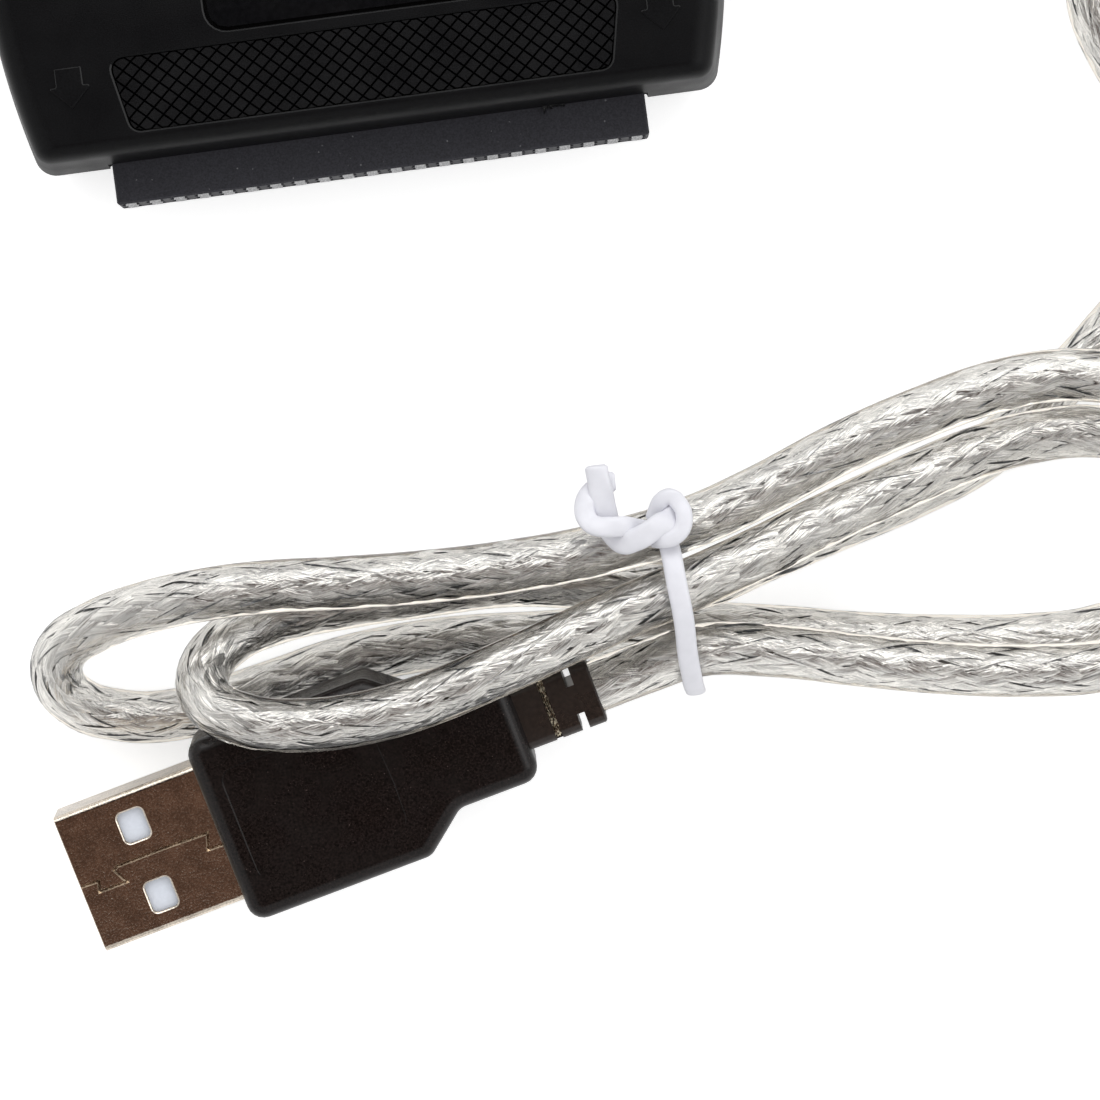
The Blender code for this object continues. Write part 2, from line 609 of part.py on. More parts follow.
def build_bottom_shell(openings):
    """The tray: a cup open above, with a lip inside the lid's rabbet and two bosses."""
    rim = PARTING_HEIGHT - HALF_SEAM
    lip_inner = LIP_OUTER_INSET + LIP_WALL
    rings = [
        case_ring(BOTTOM_TAPER + WALL, WALL),
        case_ring(lip_inner, PARTING_HEIGHT + LIP_HEIGHT),
        case_ring(LIP_OUTER_INSET, PARTING_HEIGHT + LIP_HEIGHT),
        case_ring(LIP_OUTER_INSET, rim),
        case_ring(SEAM_STEP, rim),
    ]
    rings += fillet_rings(BOTTOM_TAPER, BOTTOM_FILLET, BOTTOM_FILLET, 0.0)
    tray = loft("bottom_shell", rings, BLACK_PLASTIC)
    for name, place in SCREW_PLACES.items():
        boss = cylinder(name + "_lower_boss", LOWER_BOSS_RADIUS, WALL - BOSS_ROOT, BOARD_BOTTOM - CLEARANCE,
                        place)
        boolean(tray, boss, "UNION")
        through = cylinder(name + "_through", SCREW_RADIUS + CLEARANCE, -OVERSHOOT, BOARD_TOP, place,
                           sides=16)
        boolean(tray, through)
        counterbore = cylinder(name + "_counterbore", SCREW_HEAD_RADIUS + CLEARANCE, -OVERSHOOT,
                               screw_seat() + CLEARANCE, place)
        boolean(tray, counterbore)
    for opening in openings:
        boolean(tray, opening)
    return tray


def build_label():
    bottom = CASE_HEIGHT - LABEL_RECESS + CLEARANCE
    return prism("label_plate", label_outline(CLEARANCE), bottom, bottom + LABEL_THICKNESS, GLOSS_LABEL)


# Sockets


def hole_cutter(name, pitch, columns, y_face, y_sign):
    """All of a socket's square holes, each with a funnel at its mouth."""
    shape = bmesh.new()
    mouth = pitch * HOLE_SHARE_MOUTH / 2
    bore = pitch * HOLE_SHARE_BORE / 2
    sections = [(mouth, -CLEARANCE), (mouth, 0.0), (bore, HOLE_CHAMFER), (bore, HOLE_DEPTH)]
    for column in range(columns):
        x = (column - (columns - 1) / 2) * pitch
        for row in range(ROWS):
            z = PARTING_HEIGHT + (row - (ROWS - 1) / 2) * pitch
            loops = []
            for half, depth in sections:
                y = y_face - y_sign * depth
                corners = ((-half, -half), (half, -half), (half, half), (-half, half))
                loops.append([shape.verts.new((x + dx, y, z + dz)) for dx, dz in corners])
            for near, far in zip(loops, loops[1:]):
                for i in range(4):
                    j = (i + 1) % 4
                    shape.faces.new((near[i], near[j], far[j], far[i]))
            shape.faces.new(loops[0])
            shape.faces.new(loops[-1])
    return add_object(name, mesh_from(name, shape))


def build_socket(name, pitch, columns, height, y_sign, key=False):
    """A two-row socket housing that runs from outside the wall to the board's edge."""
    width = pitch * columns
    length = SOCKET_REACH + SOCKET_INSIDE
    y_face = y_sign * (CASE_Y + SOCKET_REACH)
    housing = box(name, (width, length, height), (0.0, y_face - y_sign * length / 2, PARTING_HEIGHT),
                  SOCKET_PLASTIC)
    if key:
        reach = SOCKET_REACH - CLEARANCE
        ridge = box(name + "_key", (KEY_WIDTH, reach, KEY_RISE + CLEARANCE),
                    (0.0, y_face - y_sign * reach / 2, PARTING_HEIGHT + (height + KEY_RISE - CLEARANCE) / 2))
        boolean(housing, ridge, "UNION")
    add_bevel(housing, SOCKET_EDGE, 1)
    boolean(housing, hole_cutter(name + "_holes", pitch, columns, y_face, y_sign))
    return housing


def build_sata_port():
    """The port's housing: a mouth in its outer face and a hooked tongue in it."""
    face_x = -CASE_X + SATA_RECESS
    housing = box("sata_port", (SATA_LENGTH, SATA_WIDTH, SATA_HEIGHT),
                  (face_x + SATA_LENGTH / 2, 0.0, PARTING_HEIGHT), SOCKET_PLASTIC, SATA_EDGE, 1)
    depth = SATA_CAVITY_DEPTH + CLEARANCE
    mouth = box("sata_mouth", (depth, SATA_CAVITY_WIDTH, SATA_CAVITY_HEIGHT),
                (face_x + SATA_CAVITY_DEPTH - depth / 2, 0.0, PARTING_HEIGHT))
    boolean(housing, mouth)
    back_x = face_x + SATA_CAVITY_DEPTH + BOSS_ROOT
    tongue_x = back_x - (SATA_TONGUE_LENGTH + BOSS_ROOT) / 2
    size = (SATA_TONGUE_LENGTH + BOSS_ROOT, SATA_TONGUE_WIDTH, SATA_TONGUE_THICKNESS)
    tongue_z = PARTING_HEIGHT + SATA_TONGUE_THICKNESS / 2
    tongue = box("sata_tongue", size, (tongue_x, 0.0, tongue_z))
    hook_height = SATA_HOOK_DROP + SATA_TONGUE_THICKNESS / 2
    hook = box("sata_hook", (size[0], SATA_TONGUE_THICKNESS, hook_height),
               (tongue_x, (SATA_TONGUE_WIDTH - SATA_TONGUE_THICKNESS) / 2, tongue_z - hook_height / 2))
    boolean(tongue, hook, "UNION")
    boolean(housing, tongue, "UNION")
    length, width, thickness = SATA_CONTACT_SIZE
    contact_x = face_x + SATA_CAVITY_DEPTH - CLEARANCE - length / 2
    for index in range(SATA_CONTACTS):
        y = (index - (SATA_CONTACTS - 1) / 2) * SATA_CONTACT_PITCH - SATA_TONGUE_THICKNESS / 2
        box(f"sata_contact_{index + 1}", (length, width, thickness),
            (contact_x, y, PARTING_HEIGHT - CLEARANCE - thickness / 2), CONTACT_GOLD)
    return housing


# Board


def build_board():
    """The circuit board, notched round the SATA port and bored for the screws."""
    board = box("circuit_board", (BOARD_WIDTH, BOARD_DEPTH, BOARD_THICKNESS), (0.0, 0.0, PARTING_HEIGHT),
                BOARD_GREEN)
    notch_end = SATA_INNER_X + CLEARANCE
    notch_start = -BOARD_WIDTH / 2 - OVERSHOOT
    notch = box("board_notch", (notch_end - notch_start, SATA_WIDTH + 2 * CLEARANCE, 2 * BOARD_THICKNESS),
                ((notch_end + notch_start) / 2, 0.0, PARTING_HEIGHT))
    boolean(board, notch)
    for name, place in SCREW_PLACES.items():
        hole = cylinder(name + "_board_hole", SCREW_RADIUS + CLEARANCE, BOARD_BOTTOM - OVERSHOOT,
                        BOARD_TOP + OVERSHOOT, place, sides=16)
        boolean(board, hole)
    bottom = BOARD_TOP + SOLDER_GAP
    for name, (size, place, bevel) in CHIPS.items():
        finish = CAN_METAL if name == "clock_crystal" else CHIP_BLACK
        width, length, height = (value * MM for value in size)
        x = place[0] * BOARD_WIDTH / 2
        box(name, (width, length, height), (x, place[1] * MM, bottom + height / 2), finish, bevel * MM)
    x = BOARD_WIDTH / 2 - CAPACITOR_END_MARGIN - CAPACITOR_RADIUS
    y = BOARD_DEPTH / 2 - CAPACITOR_SIDE_MARGIN - CAPACITOR_RADIUS
    top = CASE_HEIGHT - WALL - CAPACITOR_HEADROOM
    for name, side in (("input_capacitor", 1), ("output_capacitor", -1)):
        can = cylinder(name, CAPACITOR_RADIUS, bottom, top, (x, side * y), CAN_METAL)
        add_bevel(can, CLEARANCE)


def build_screw(name, place):
    """A pan-head screw from below: head, shank and a slot across the head."""
    head_bottom = screw_seat() - SCREW_HEAD_HEIGHT
    edge = SCREW_HEAD_HEIGHT / 3
    screw = turned(name, [
        (0.0, screw_tip()),
        (SCREW_TIP_RADIUS, screw_tip()),
        (SCREW_RADIUS, screw_tip() - SCREW_RADIUS),
        (SCREW_RADIUS, screw_seat()),
        (SCREW_HEAD_RADIUS, screw_seat()),
        (SCREW_HEAD_RADIUS, head_bottom + edge),
        (SCREW_HEAD_RADIUS - edge, head_bottom),
        (0.0, head_bottom),
    ], SCREW_STEEL, sides=20)
    screw.location = (place[0], place[1], 0.0)
    length, width, depth = DRIVE_SLOT
    for across, size in (("x", (length, width, 2 * depth)), ("y", (width, length, 2 * depth))):
        slot = box(f"{name}_slot_{across}", size, (place[0], place[1], head_bottom))
        boolean(screw, slot)
    return screw


# Cable


def smooth_points(route, count, closed=False):
    """Points spaced evenly along a smooth curve through a route's points, in metres."""
    guide_data = bpy.data.curves.new("guide", "CURVE")
    guide_data.dimensions = "3D"
    guide_data.resolution_u = 12
    spline = guide_data.splines.new("BEZIER")
    spline.bezier_points.add(len(route) - 1)
    spline.use_cyclic_u = closed
    for point, place in zip(spline.bezier_points, route):
        point.co = place
        point.handle_left_type = "AUTO"
        point.handle_right_type = "AUTO"
    guide = bpy.data.objects.new("guide", guide_data)
    scene_root.objects.link(guide)
    bpy.context.view_layer.update()
    graph = bpy.context.evaluated_depsgraph_get()
    line = [vertex.co.copy() for vertex in guide.evaluated_get(graph).to_mesh().vertices]
    bpy.data.objects.remove(guide)
    if closed:
        line.append(line[0].copy())
    travelled = [0.0]
    for first, second in zip(line, line[1:]):
        travelled.append(travelled[-1] + (second - first).length)
    pieces = count if closed else count - 1
    points = []
    index = 0
    for step in range(count):
        target = travelled[-1] * step / pieces
        while index < len(line) - 2 and travelled[index + 1] < target:
            index += 1
        span = travelled[index + 1] - travelled[index]
        share = (target - travelled[index]) / span if span else 0.0
        points.append(line[index].lerp(line[index + 1], share))
    return points


def tube(name, points, radius, finish, closed=False, resolution=2):
    """A round tube along points, with closed ends."""
    data = bpy.data.curves.new(name, "CURVE")
    data.dimensions = "3D"
    data.bevel_depth = radius
    data.bevel_resolution = resolution
    data.use_fill_caps = not closed
    spline = data.splines.new("POLY")
    spline.points.add(len(points) - 1)
    spline.use_cyclic_u = closed
    for point, place in zip(spline.points, points):
        point.co = (*place, 1.0)
    spline.use_smooth = True
    thing = bpy.data.objects.new(name, data)
    data.materials.append(finish)
    parts.objects.link(thing)
    return thing


def tube_mesh(name, points, radius, finish, closed=False):
    """The same tube as a mesh with welded caps, which a Boolean can take."""
    curve = tube(name + "_line", points, radius, TIE_WHITE, closed, resolution=1)
    bpy.context.view_layer.update()
    graph = bpy.context.evaluated_depsgraph_get()
    mesh = bpy.data.meshes.new_from_object(curve.evaluated_get(graph))
    bpy.data.objects.remove(curve)
    mesh.materials.clear()
    shape = bmesh.new()
    shape.from_mesh(mesh)
    bmesh.ops.remove_doubles(shape, verts=shape.verts, dist=0.001 * MM)
    bmesh.ops.recalc_face_normals(shape, faces=shape.faces)
    shape.to_mesh(mesh)
    shape.free()
    mesh.name = name
    return add_object(name, mesh, finish)


def build_sleeve():
    """The cable's moulded sleeve: a collar inside the wall and a grooved taper outside it."""
    groove_pitch = SLEEVE_LENGTH / (SLEEVE_GROOVES + 2)
    profile = [(0.0, SLEEVE_END_X), (SLEEVE_END_RADIUS - CLEARANCE, SLEEVE_END_X),
               (SLEEVE_END_RADIUS, SLEEVE_END_X - CLEARANCE)]
    for index in range(SLEEVE_GROOVES):
        x = SLEEVE_END_X - groove_pitch * (index + 1)
        share = (SLEEVE_END_X - x) / SLEEVE_LENGTH
        radius = SLEEVE_END_RADIUS + (SLEEVE_RADIUS - SLEEVE_END_RADIUS) * share
        half = groove_pitch / 4
        profile += [(radius, x + half), (radius - SLEEVE_GROOVE, x + half),
                    (radius - SLEEVE_GROOVE, x - half), (radius, x - half)]
    profile += [(SLEEVE_RADIUS, SLEEVE_COLLAR_END_X), (SLEEVE_COLLAR_RADIUS, SLEEVE_COLLAR_END_X),
                (SLEEVE_COLLAR_RADIUS, SLEEVE_INNER_X), (0.0, SLEEVE_INNER_X)]
    sleeve = turned("cable_sleeve", profile, PLUG_BLACK)
    sleeve.rotation_euler = (0.0, math.pi / 2, 0.0)
    sleeve.location = (0.0, 0.0, PARTING_HEIGHT)


def build_wires():
    """Four wires from the sleeve's inner face up to the board's edge."""
    landing = BOARD_TOP + WIRE_RADIUS + CLEARANCE
    for index, (name, finish) in enumerate(zip(WIRE_NAMES, WIRE_MATERIALS)):
        spread = index - (len(WIRE_NAMES) - 1) / 2
        start = Vector((SLEEVE_INNER_X - CLEARANCE, spread * WIRE_PITCH_IN_SLEEVE, PARTING_HEIGHT))
        over = Vector((BOARD_WIDTH / 2 + CLEARANCE, spread * WIRE_PITCH, landing))
        end = Vector((BOARD_WIDTH / 2 - WIRE_LANDING, spread * WIRE_PITCH, landing))
        route = [start, start.lerp(over, 0.5) + Vector((0.0, 0.0, CLEARANCE)), over, end]
        tube(name, smooth_points(route, 8), WIRE_RADIUS, finish)


def plug_matrix():
    turn = Matrix.Rotation(PLUG_HEADING, 4, "Z") @ Matrix.Rotation(-PLUG_PITCH, 4, "Y")
    return Matrix.Translation(PLUG_TIP) @ turn @ Matrix.Rotation(PLUG_ROLL, 4, "X")


def build_cable():
    """The cable as one tube, from the sleeve's end to the plug's."""
    start = Vector((SLEEVE_END_X + CLEARANCE, 0.0, PARTING_HEIGHT))
    end = plug_matrix() @ Vector((RELIEF_END + CLEARANCE, 0.0, 0.0))
    before_end = plug_matrix() @ Vector((RELIEF_END + 2 * CABLE_RADIUS, 0.0, 0.0))
    route = [start] + [Vector(place) * MM for place in CABLE_ROUTE] + [before_end, end]
    tube("usb_cable", smooth_points(route, CABLE_STEPS), CABLE_RADIUS, CLEAR_CABLE)


def build_tie():
    """The tie: a closed loop round the bundle, joined to its twisted tail."""
    loop = smooth_points([Vector(place) * MM for place in TIE_LOOP], TIE_STEPS, closed=True)
    tail = smooth_points([Vector(place) * MM for place in TIE_TAIL], TIE_TAIL_STEPS)
    tie = tube_mesh("twist_tie", loop, TIE_RADIUS, TIE_WHITE, closed=True)
    end = tube_mesh("tie_tail", tail, TIE_RADIUS, None)
    boolean(tie, end, "UNION")


# Plug


def on_plug(thing, holder):
    thing.parent = holder
    return thing


def bevel_along_x(thing, width):
    """Rounds the four long edges of a box and leaves its ends square."""
    shape = bmesh.new()
    shape.from_mesh(thing.data)
    along = [edge for edge in shape.edges if abs((edge.verts[0].co - edge.verts[1].co).x) > CLEARANCE]
    bmesh.ops.bevel(shape, geom=along, offset=width, segments=2, profile=0.5, affect="EDGES")
    shape.to_mesh(thing.data)
    shape.free()


def build_plug_shell(holder):
    """The folded steel shell, open at both ends, with two windows above and two below."""
    length = SHELL_REACH + SHELL_SEAT - CLEARANCE
    shell = box("plug_shell", (length, SHELL_WIDTH, SHELL_HEIGHT), (length / 2, 0.0, 0.0), PLUG_METAL)
    bevel_along_x(shell, SHELL_BEND)
    hollow_size = (length + 2 * OVERSHOOT, SHELL_WIDTH - 2 * SHELL_SHEET, SHELL_HEIGHT - 2 * SHELL_SHEET)
    hollow = box("shell_hollow", hollow_size, (length / 2, 0.0, 0.0))
    boolean(shell, hollow)
    on_plug(shell, holder)
    on_plug(hollow, holder)
    for hand, y in (("left", -WINDOW_OFFSET), ("right", WINDOW_OFFSET)):
        window = box(f"window_{hand}", (*WINDOW_SIZE, 2 * SHELL_HEIGHT), (WINDOW_FROM_FRONT, y, 0.0))
        boolean(shell, window)
        on_plug(window, holder)


def build_plug_inside(holder):
    """The insulating tongue right under the shell's upper wall, and its four contacts below it."""
    start = TONGUE_RECESS
    end = SHELL_REACH + SHELL_SEAT - 2 * CLEARANCE
    top = SHELL_HEIGHT / 2 - SHELL_SHEET - CLEARANCE
    tongue_width = SHELL_WIDTH - 2 * (SHELL_SHEET + CLEARANCE)
    tongue = box("plug_insulator", (end - start, tongue_width, TONGUE_THICKNESS),
                 ((start + end) / 2, 0.0, top - TONGUE_THICKNESS / 2), PLUG_WHITE, CLEARANCE, 1)
    on_plug(tongue, holder)
    length, width, thickness = USB_CONTACT_SIZE
    for index in range(USB_CONTACTS):
        y = (index - (USB_CONTACTS - 1) / 2) * USB_CONTACT_PITCH
        contact = box(f"plug_contact_{index + 1}", (length, width, thickness),
                      (start + CLEARANCE + length / 2, y, top - TONGUE_THICKNESS - CLEARANCE - thickness / 2),
                      CONTACT_GOLD)
        on_plug(contact, holder)


def build_overmould(holder):
    """The moulded grip with its slotted relief, and the pocket that the shell sits in."""
    front = SHELL_REACH
    half = [(front, MOULD_HALF_WIDTH), (MOULD_WIDE_END, MOULD_HALF_WIDTH),
            (MOULD_SLANT_END, MOULD_REAR_HALF_WIDTH), (MOULD_END, MOULD_REAR_HALF_WIDTH)]
    outline = half + [(x, -y) for x, y in reversed(half)]
    mould = prism("plug_overmould", outline, -MOULD_THICKNESS / 2, MOULD_THICKNESS / 2, PLUG_BLACK)
    add_bevel(mould, MOULD_EDGE, 3)
    relief = cylinder("relief_core", RELIEF_RADIUS, MOULD_END - MOULD_EDGE, RELIEF_END, (0.0, 0.0), sides=24)
    relief.rotation_euler = (0.0, math.pi / 2, 0.0)
    relief.location = ((MOULD_END - MOULD_EDGE + RELIEF_END) / 2, 0.0, 0.0)
    boolean(mould, relief, "UNION")
    helpers = [relief]
    for hand, sign in (("upper", 1), ("lower", -1)):
        slot = box(f"relief_slot_{hand}", (RELIEF_SLOT, 4 * RELIEF_RADIUS, 2 * RELIEF_RADIUS),
                   (RELIEF_SLOT_TOP, 0.0, sign * (RELIEF_RADIUS + RELIEF_WEB)))
        helpers.append(slot)
        boolean(mould, slot)
    for hand, sign in (("left", 1), ("right", -1)):
        slot = box(f"relief_slot_{hand}", (RELIEF_SLOT, 2 * RELIEF_RADIUS, 4 * RELIEF_RADIUS),
                   (RELIEF_SLOT_SIDE, sign * (RELIEF_RADIUS + RELIEF_WEB), 0.0))
        helpers.append(slot)
        boolean(mould, slot)
    pocket_size = (2 * SHELL_SEAT, SHELL_WIDTH + 2 * CLEARANCE, SHELL_HEIGHT + 2 * CLEARANCE)
    pocket = box("shell_pocket", pocket_size, (SHELL_REACH, 0.0, 0.0))
    helpers.append(pocket)
    boolean(mould, pocket)
    for thing in [mould] + helpers:
        on_plug(thing, holder)


def build_plug():
    holder = bpy.data.objects.new("plug_holder", None)
    parts.objects.link(holder)
    holder.matrix_world = plug_matrix()
    build_plug_shell(holder)
    build_plug_inside(holder)
    build_overmould(holder)


def main():
    openings = wall_cutters()
    build_top_shell(openings)
    build_bottom_shell(openings)
    build_label()
    build_socket("front_44_pin_socket", FRONT_PITCH, FRONT_COLUMNS, FRONT_HEIGHT, -1)
    build_socket("back_40_pin_socket", BACK_PITCH, BACK_COLUMNS, BACK_HEIGHT, 1, key=True)
    build_sata_port()
    build_board()
    for name, place in SCREW_PLACES.items():
        build_screw(name, place)
    build_sleeve()
    build_wires()
    build_cable()
    build_tie()
    build_plug()


main()
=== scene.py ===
"""The drive adapter's looks: clear cable over a woven braid, tie, plug, grips, case, studio and camera.

Metres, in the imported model's frame: +Z up, the case over the origin, -Y the front.
"""

import json
import math

import bmesh
import bpy
import numpy as np
from mathutils import Matrix, Vector


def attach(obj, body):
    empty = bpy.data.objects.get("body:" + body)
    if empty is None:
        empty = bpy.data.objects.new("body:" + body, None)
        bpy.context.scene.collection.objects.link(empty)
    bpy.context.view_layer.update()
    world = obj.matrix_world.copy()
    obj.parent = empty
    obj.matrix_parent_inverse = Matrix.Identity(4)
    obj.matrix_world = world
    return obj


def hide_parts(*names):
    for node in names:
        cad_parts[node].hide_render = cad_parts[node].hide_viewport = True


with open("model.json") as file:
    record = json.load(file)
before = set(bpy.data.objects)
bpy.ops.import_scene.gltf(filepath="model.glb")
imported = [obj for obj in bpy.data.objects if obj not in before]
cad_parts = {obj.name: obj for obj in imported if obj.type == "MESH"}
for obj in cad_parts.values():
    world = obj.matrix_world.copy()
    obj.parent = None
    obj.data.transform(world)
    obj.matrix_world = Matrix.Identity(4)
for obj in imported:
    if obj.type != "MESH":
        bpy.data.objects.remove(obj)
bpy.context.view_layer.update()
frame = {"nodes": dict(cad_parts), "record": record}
nodes = frame["nodes"]

MM = 0.001
PICTURE = 1100
SEED = 7

# Camera, straight above and turned
CAMERA_PLACE = Vector((9.4, -55.1, 350.0)) * MM
CAMERA_TURN = math.radians(-7.6)
CAMERA_FOCAL = 4154.0
SENSOR = 36.0

# Studio: image up and image right on the table, the light for matt surfaces, and what reflections show.
# The walls' shades go from south to north
NORTH = (math.sin(math.radians(7.6)), math.cos(math.radians(7.6)), 0.0)
EAST = (math.cos(math.radians(7.6)), -math.sin(math.radians(7.6)), 0.0)
EVEN_LIGHT = 0.86
WALL_LIGHT = 1.35
EAST_EXTRA = 0.05
OVERHEAD = (-0.08, -0.09, 0.99)
OVERHEAD_EDGE = (0.86, 0.9)
OVERHEAD_BROWN = (0.112, 0.064, 0.046)
OVERHEAD_DARK = (0.02, 0.02, 0.024)
WALL_SHADES = ((0.0, 0.52), (0.28, 0.52), (0.5, 0.58), (0.75, 0.64), (1.0, 0.68))
FLOOR_SIZE = 3.0
FLOOR_GLOW = 0.58
FLOOR_REFLECTED = 0.4
SOFTBOX_TARGET = (0.0, -0.05, 0.0)

# Cable, as in the CAD source
CABLE_RADIUS = 2.2 * MM
SLEEVE_END = Vector((44.7, 0.0, 7.75)) * MM
CLEARANCE = 0.3 * MM
INTO_SLEEVE = 1.2 * MM
CABLE_STEP = 0.3 * MM
JACKET_STEP = 0.75 * MM
JACKET_SIDES = 28
CORE_RADIUS = 1.0 * MM
CORE_SIDES = 16

# Braid: 8 carriers each way, their lay, how far they rise and sink as they cross, and how far they tip
BRAID_RADIUS = 1.27 * MM
BRAID_LAY = 33.0 * MM
BRAID_WAVE = 0.08 * MM
CARRIERS = 8
CARRIER_SHARE = 0.94
CARRIER_WIRES = 3
CARRIER_TIP = 0.14
TIP_RUN = 5.0 * MM
BRAID_STEP = 0.34 * MM
WIRE_RIDGE = 0.04 * MM

# How far carriers and their wires wander, as a share of the carriers' spacing, and over what length
CARRIER_DRIFT = (0.05, 9.0 * MM)
WIRE_DRIFT = (0.03, 3.0 * MM)
WIRE_LIFT = (0.015 * MM, 2.4 * MM)

# What keeps the carriers' streaks apart in their material
CARRIER_SHIFT = 3.0
HAND_SHIFT = 50.0

# Case, as in the CAD source, in millimetres; the lid's top edge is rounder at its sides than in front
CASE_X = 30.7
CASE_Y = 19.2
CASE_TOP = 15.6
PARTING = 7.75
SIDE_BOW_RADIUS = 68.0
CORNER_RADIUS = 1.8
BOW_STEPS = 14
CORNER_STEPS = 8
FILLET_STEPS = 9
ROOF_INNER = (2.3, 13.8)
RABBET = (1.0, 8.95)
WALL_INNER = 1.8
LID_RIM = 7.9
SIDE_EDGE = (0.6, 2.1)
FRONT_EDGE = (0.35, 1.3)
EDGE_DROP = 2.0
RECESS_FLOOR = 15.0
LABEL_FLOOR = 14.8
RECESS_CHAMFER = 0.14
HIGHLIGHT_AREA = (25.8, 17.5)
LABEL_HALF = (12.5, 10.2)
LABEL_CORNER = 1.8
ARROW_X = 24.0
ARROW_OUTLINE = [
    (0.0, 14.8), (-1.75, 13.0), (-1.1, 13.0), (-1.1, 11.5), (1.1, 11.5), (1.1, 13.0), (1.75, 13.0),
]
ARROW_LEVELS = ((0.0, 15.35), (0.0, 15.66), (0.09, 15.75))

# Sockets: the openings that they pass through, and the 44-pin socket's holes
FRONT_OPENING = (22.3, 5.45, 10.05)
BACK_OPENING = (25.7, 4.9, 10.6)
KEY_OPENING = (2.4, 5.0, 11.5)
SATA_OPENING = (8.0, 4.45, 11.05)
SLEEVE_OPENING = 3.4
SOCKET_FACE = 22.4
PIN_PITCH = 2.0
PIN_COLUMNS = 22
PIN_MOUTH = 0.72
PIN_BORE = 0.42
PIN_FUNNEL = 0.45
LIP_HALF = 0.45
LIP_REACH = 0.05

# Grips, as in the CAD source
GRIP_TOP_WIDTH = 41.5
GRIP_BOTTOM_WIDTH = 39.0
GRIP_HEIGHT = 6.1
GRIP_MARGIN = 1.9
GRIP_CORNER = 1.0
KNURL_PITCH_X = 1.4
KNURL_PITCH_Y = 1.3
KNURL_FLAT_DEPTH = 0.17
KNURL_GROOVE_DEPTH = 0.58
KNURL_GROOVE_HALF = 0.12
KNURL_GAP = 0.02
SMALLEST_CELL = 0.08

# The flake of flash above the front socket
BURR_X = (13.6, 15.5)
BURR_BACK = -19.0
BURR_TOP = 10.45
BURR_DROP = 0.7
BURR_REACH = (0.12, 0.2)
BURR_GRID = (5, 14)

# Plug frame and its main sizes, as in the CAD source, along X from the shell's front edge
PLUG_TIP = Vector((-32.65, -77.05, 5.9)) * MM
PLUG_HEADING = math.radians(13.1)
PLUG_PITCH = math.radians(1.5)
PLUG_ROLL = math.radians(8.0)
SHELL_WIDTH = 12.0
SHELL_HEIGHT = 4.5
SHELL_SHEET = 0.3
SHELL_BEND = 0.5
SHELL_LENGTH = 15.95
MOULD_THICKNESS = 7.2
RELIEF_START = 38.0
RELIEF_END = 45.5
SHELL_GAP = 0.12
SHELL_GAP_X = (11.0, 12.8)
SHELL_EDGE = 0.06
WINDOW_X = (4.9, 7.1)
WINDOWS_Y = ((1.8, 4.4), (-4.4, -1.8))
WINDOW_CORNER = 0.45
WINDOW_BELOW = ((-0.2, -0.1), (0.0, 0.1))
WINDOW_ABOVE = ((0.0, -0.14), (-0.06, -0.05), (-0.2, 0.03))
SEAM_LINE = [
    (-0.5, -0.14), (1.6, -0.21), (1.38, -1.08), (3.73, -1.07), (3.16, 0.16), (3.44, 0.41), (7.76, 0.44),
    (11.41, 0.35), (10.98, -0.97), (12.8, -1.01),
]
SEAM_HALF = 0.15
SEAM_DEPTH = 0.25
MOULD_OUTLINE = [
    (12.25, -8.0), (28.0, -8.0), (31.6, -5.1), (38.8, -5.1), (38.8, 5.1), (31.6, 5.1), (28.0, 8.0),
    (12.25, 8.0),
]
MOULD_CORNER = 1.45
MOULD_EDGE = 1.3
PANEL_OUTLINE = [(14.3, -4.9), (27.2, -4.9), (27.3, -1.0), (27.0, 4.9), (14.3, 4.9)]
PANEL_CORNER = 1.1
PANEL_DEPTH = 0.15
PANEL_FADE = 10.6
RELIEF_HALF_WIDTH = 2.75
RELIEF_HALF_HEIGHT = 2.6
RELIEF_CORNER = 0.8
RELIEF_EDGE = 0.15
GROOVE_X = (41.05, 41.6)
NOTCH_X = (43.3, 43.95)
RELIEF_WEB = 1.2
FOIL_GRID = (60, 9)
FOIL_WRINKLE = 0.07
FOIL_WAVE = 0.04
FOIL_EDGE = 0.8

# The cable's route in millimetres, from the sleeve to the plug
OUT_OF_CASE = [
    (48.8, 0.0, 7.5), (55.0, -1.0, 6.6), (60.1, -4.9, 5.0), (61.4, -10.7, 3.6), (60.4, -15.5, 2.9),
    (61.5, -19.9, 2.5), (64.0, -25.7, 2.4), (64.6, -32.1, 2.4), (62.4, -38.5, 2.4), (57.5, -43.7, 2.4),
]
INNER_LOOP_UNDER = [
    (52.6, -47.6, 2.4), (46.5, -51.9, 2.4), (40.3, -54.3, 2.6), (34.1, -56.0, 3.4), (27.5, -57.8, 4.8),
    (20.5, -59.5, 6.2), (13.1, -58.4, 6.4), (5.8, -57.2, 6.2), (-0.9, -57.1, 6.0), (-7.6, -57.2, 5.8),
    (-13.8, -57.7, 6.0), (-17.9, -59.0, 7.4), (-20.1, -61.3, 9.4), (-19.7, -63.7, 11.6), (-16.7, -65.6, 13.1),
]
INNER_LOOP_OVER = [
    (-12.5, -66.5, 13.5), (-7.7, -66.6, 13.5), (-2.5, -65.9, 13.5), (3.2, -64.4, 13.3), (9.2, -62.6, 12.6),
    (14.8, -60.9, 11.8), (20.4, -59.4, 10.9), (26.4, -57.6, 9.9), (32.5, -55.5, 8.9), (38.7, -53.6, 8.0),
    (44.8, -51.9, 7.3), (50.3, -51.1, 7.0), (55.7, -51.4, 7.0),
]
INNER_TURN = [
    (59.3, -52.7, 6.6), (61.8, -55.4, 6.0), (62.4, -59.5, 5.2), (61.0, -63.7, 4.2), (58.0, -66.5, 3.2),
    (54.1, -67.8, 2.4),
]
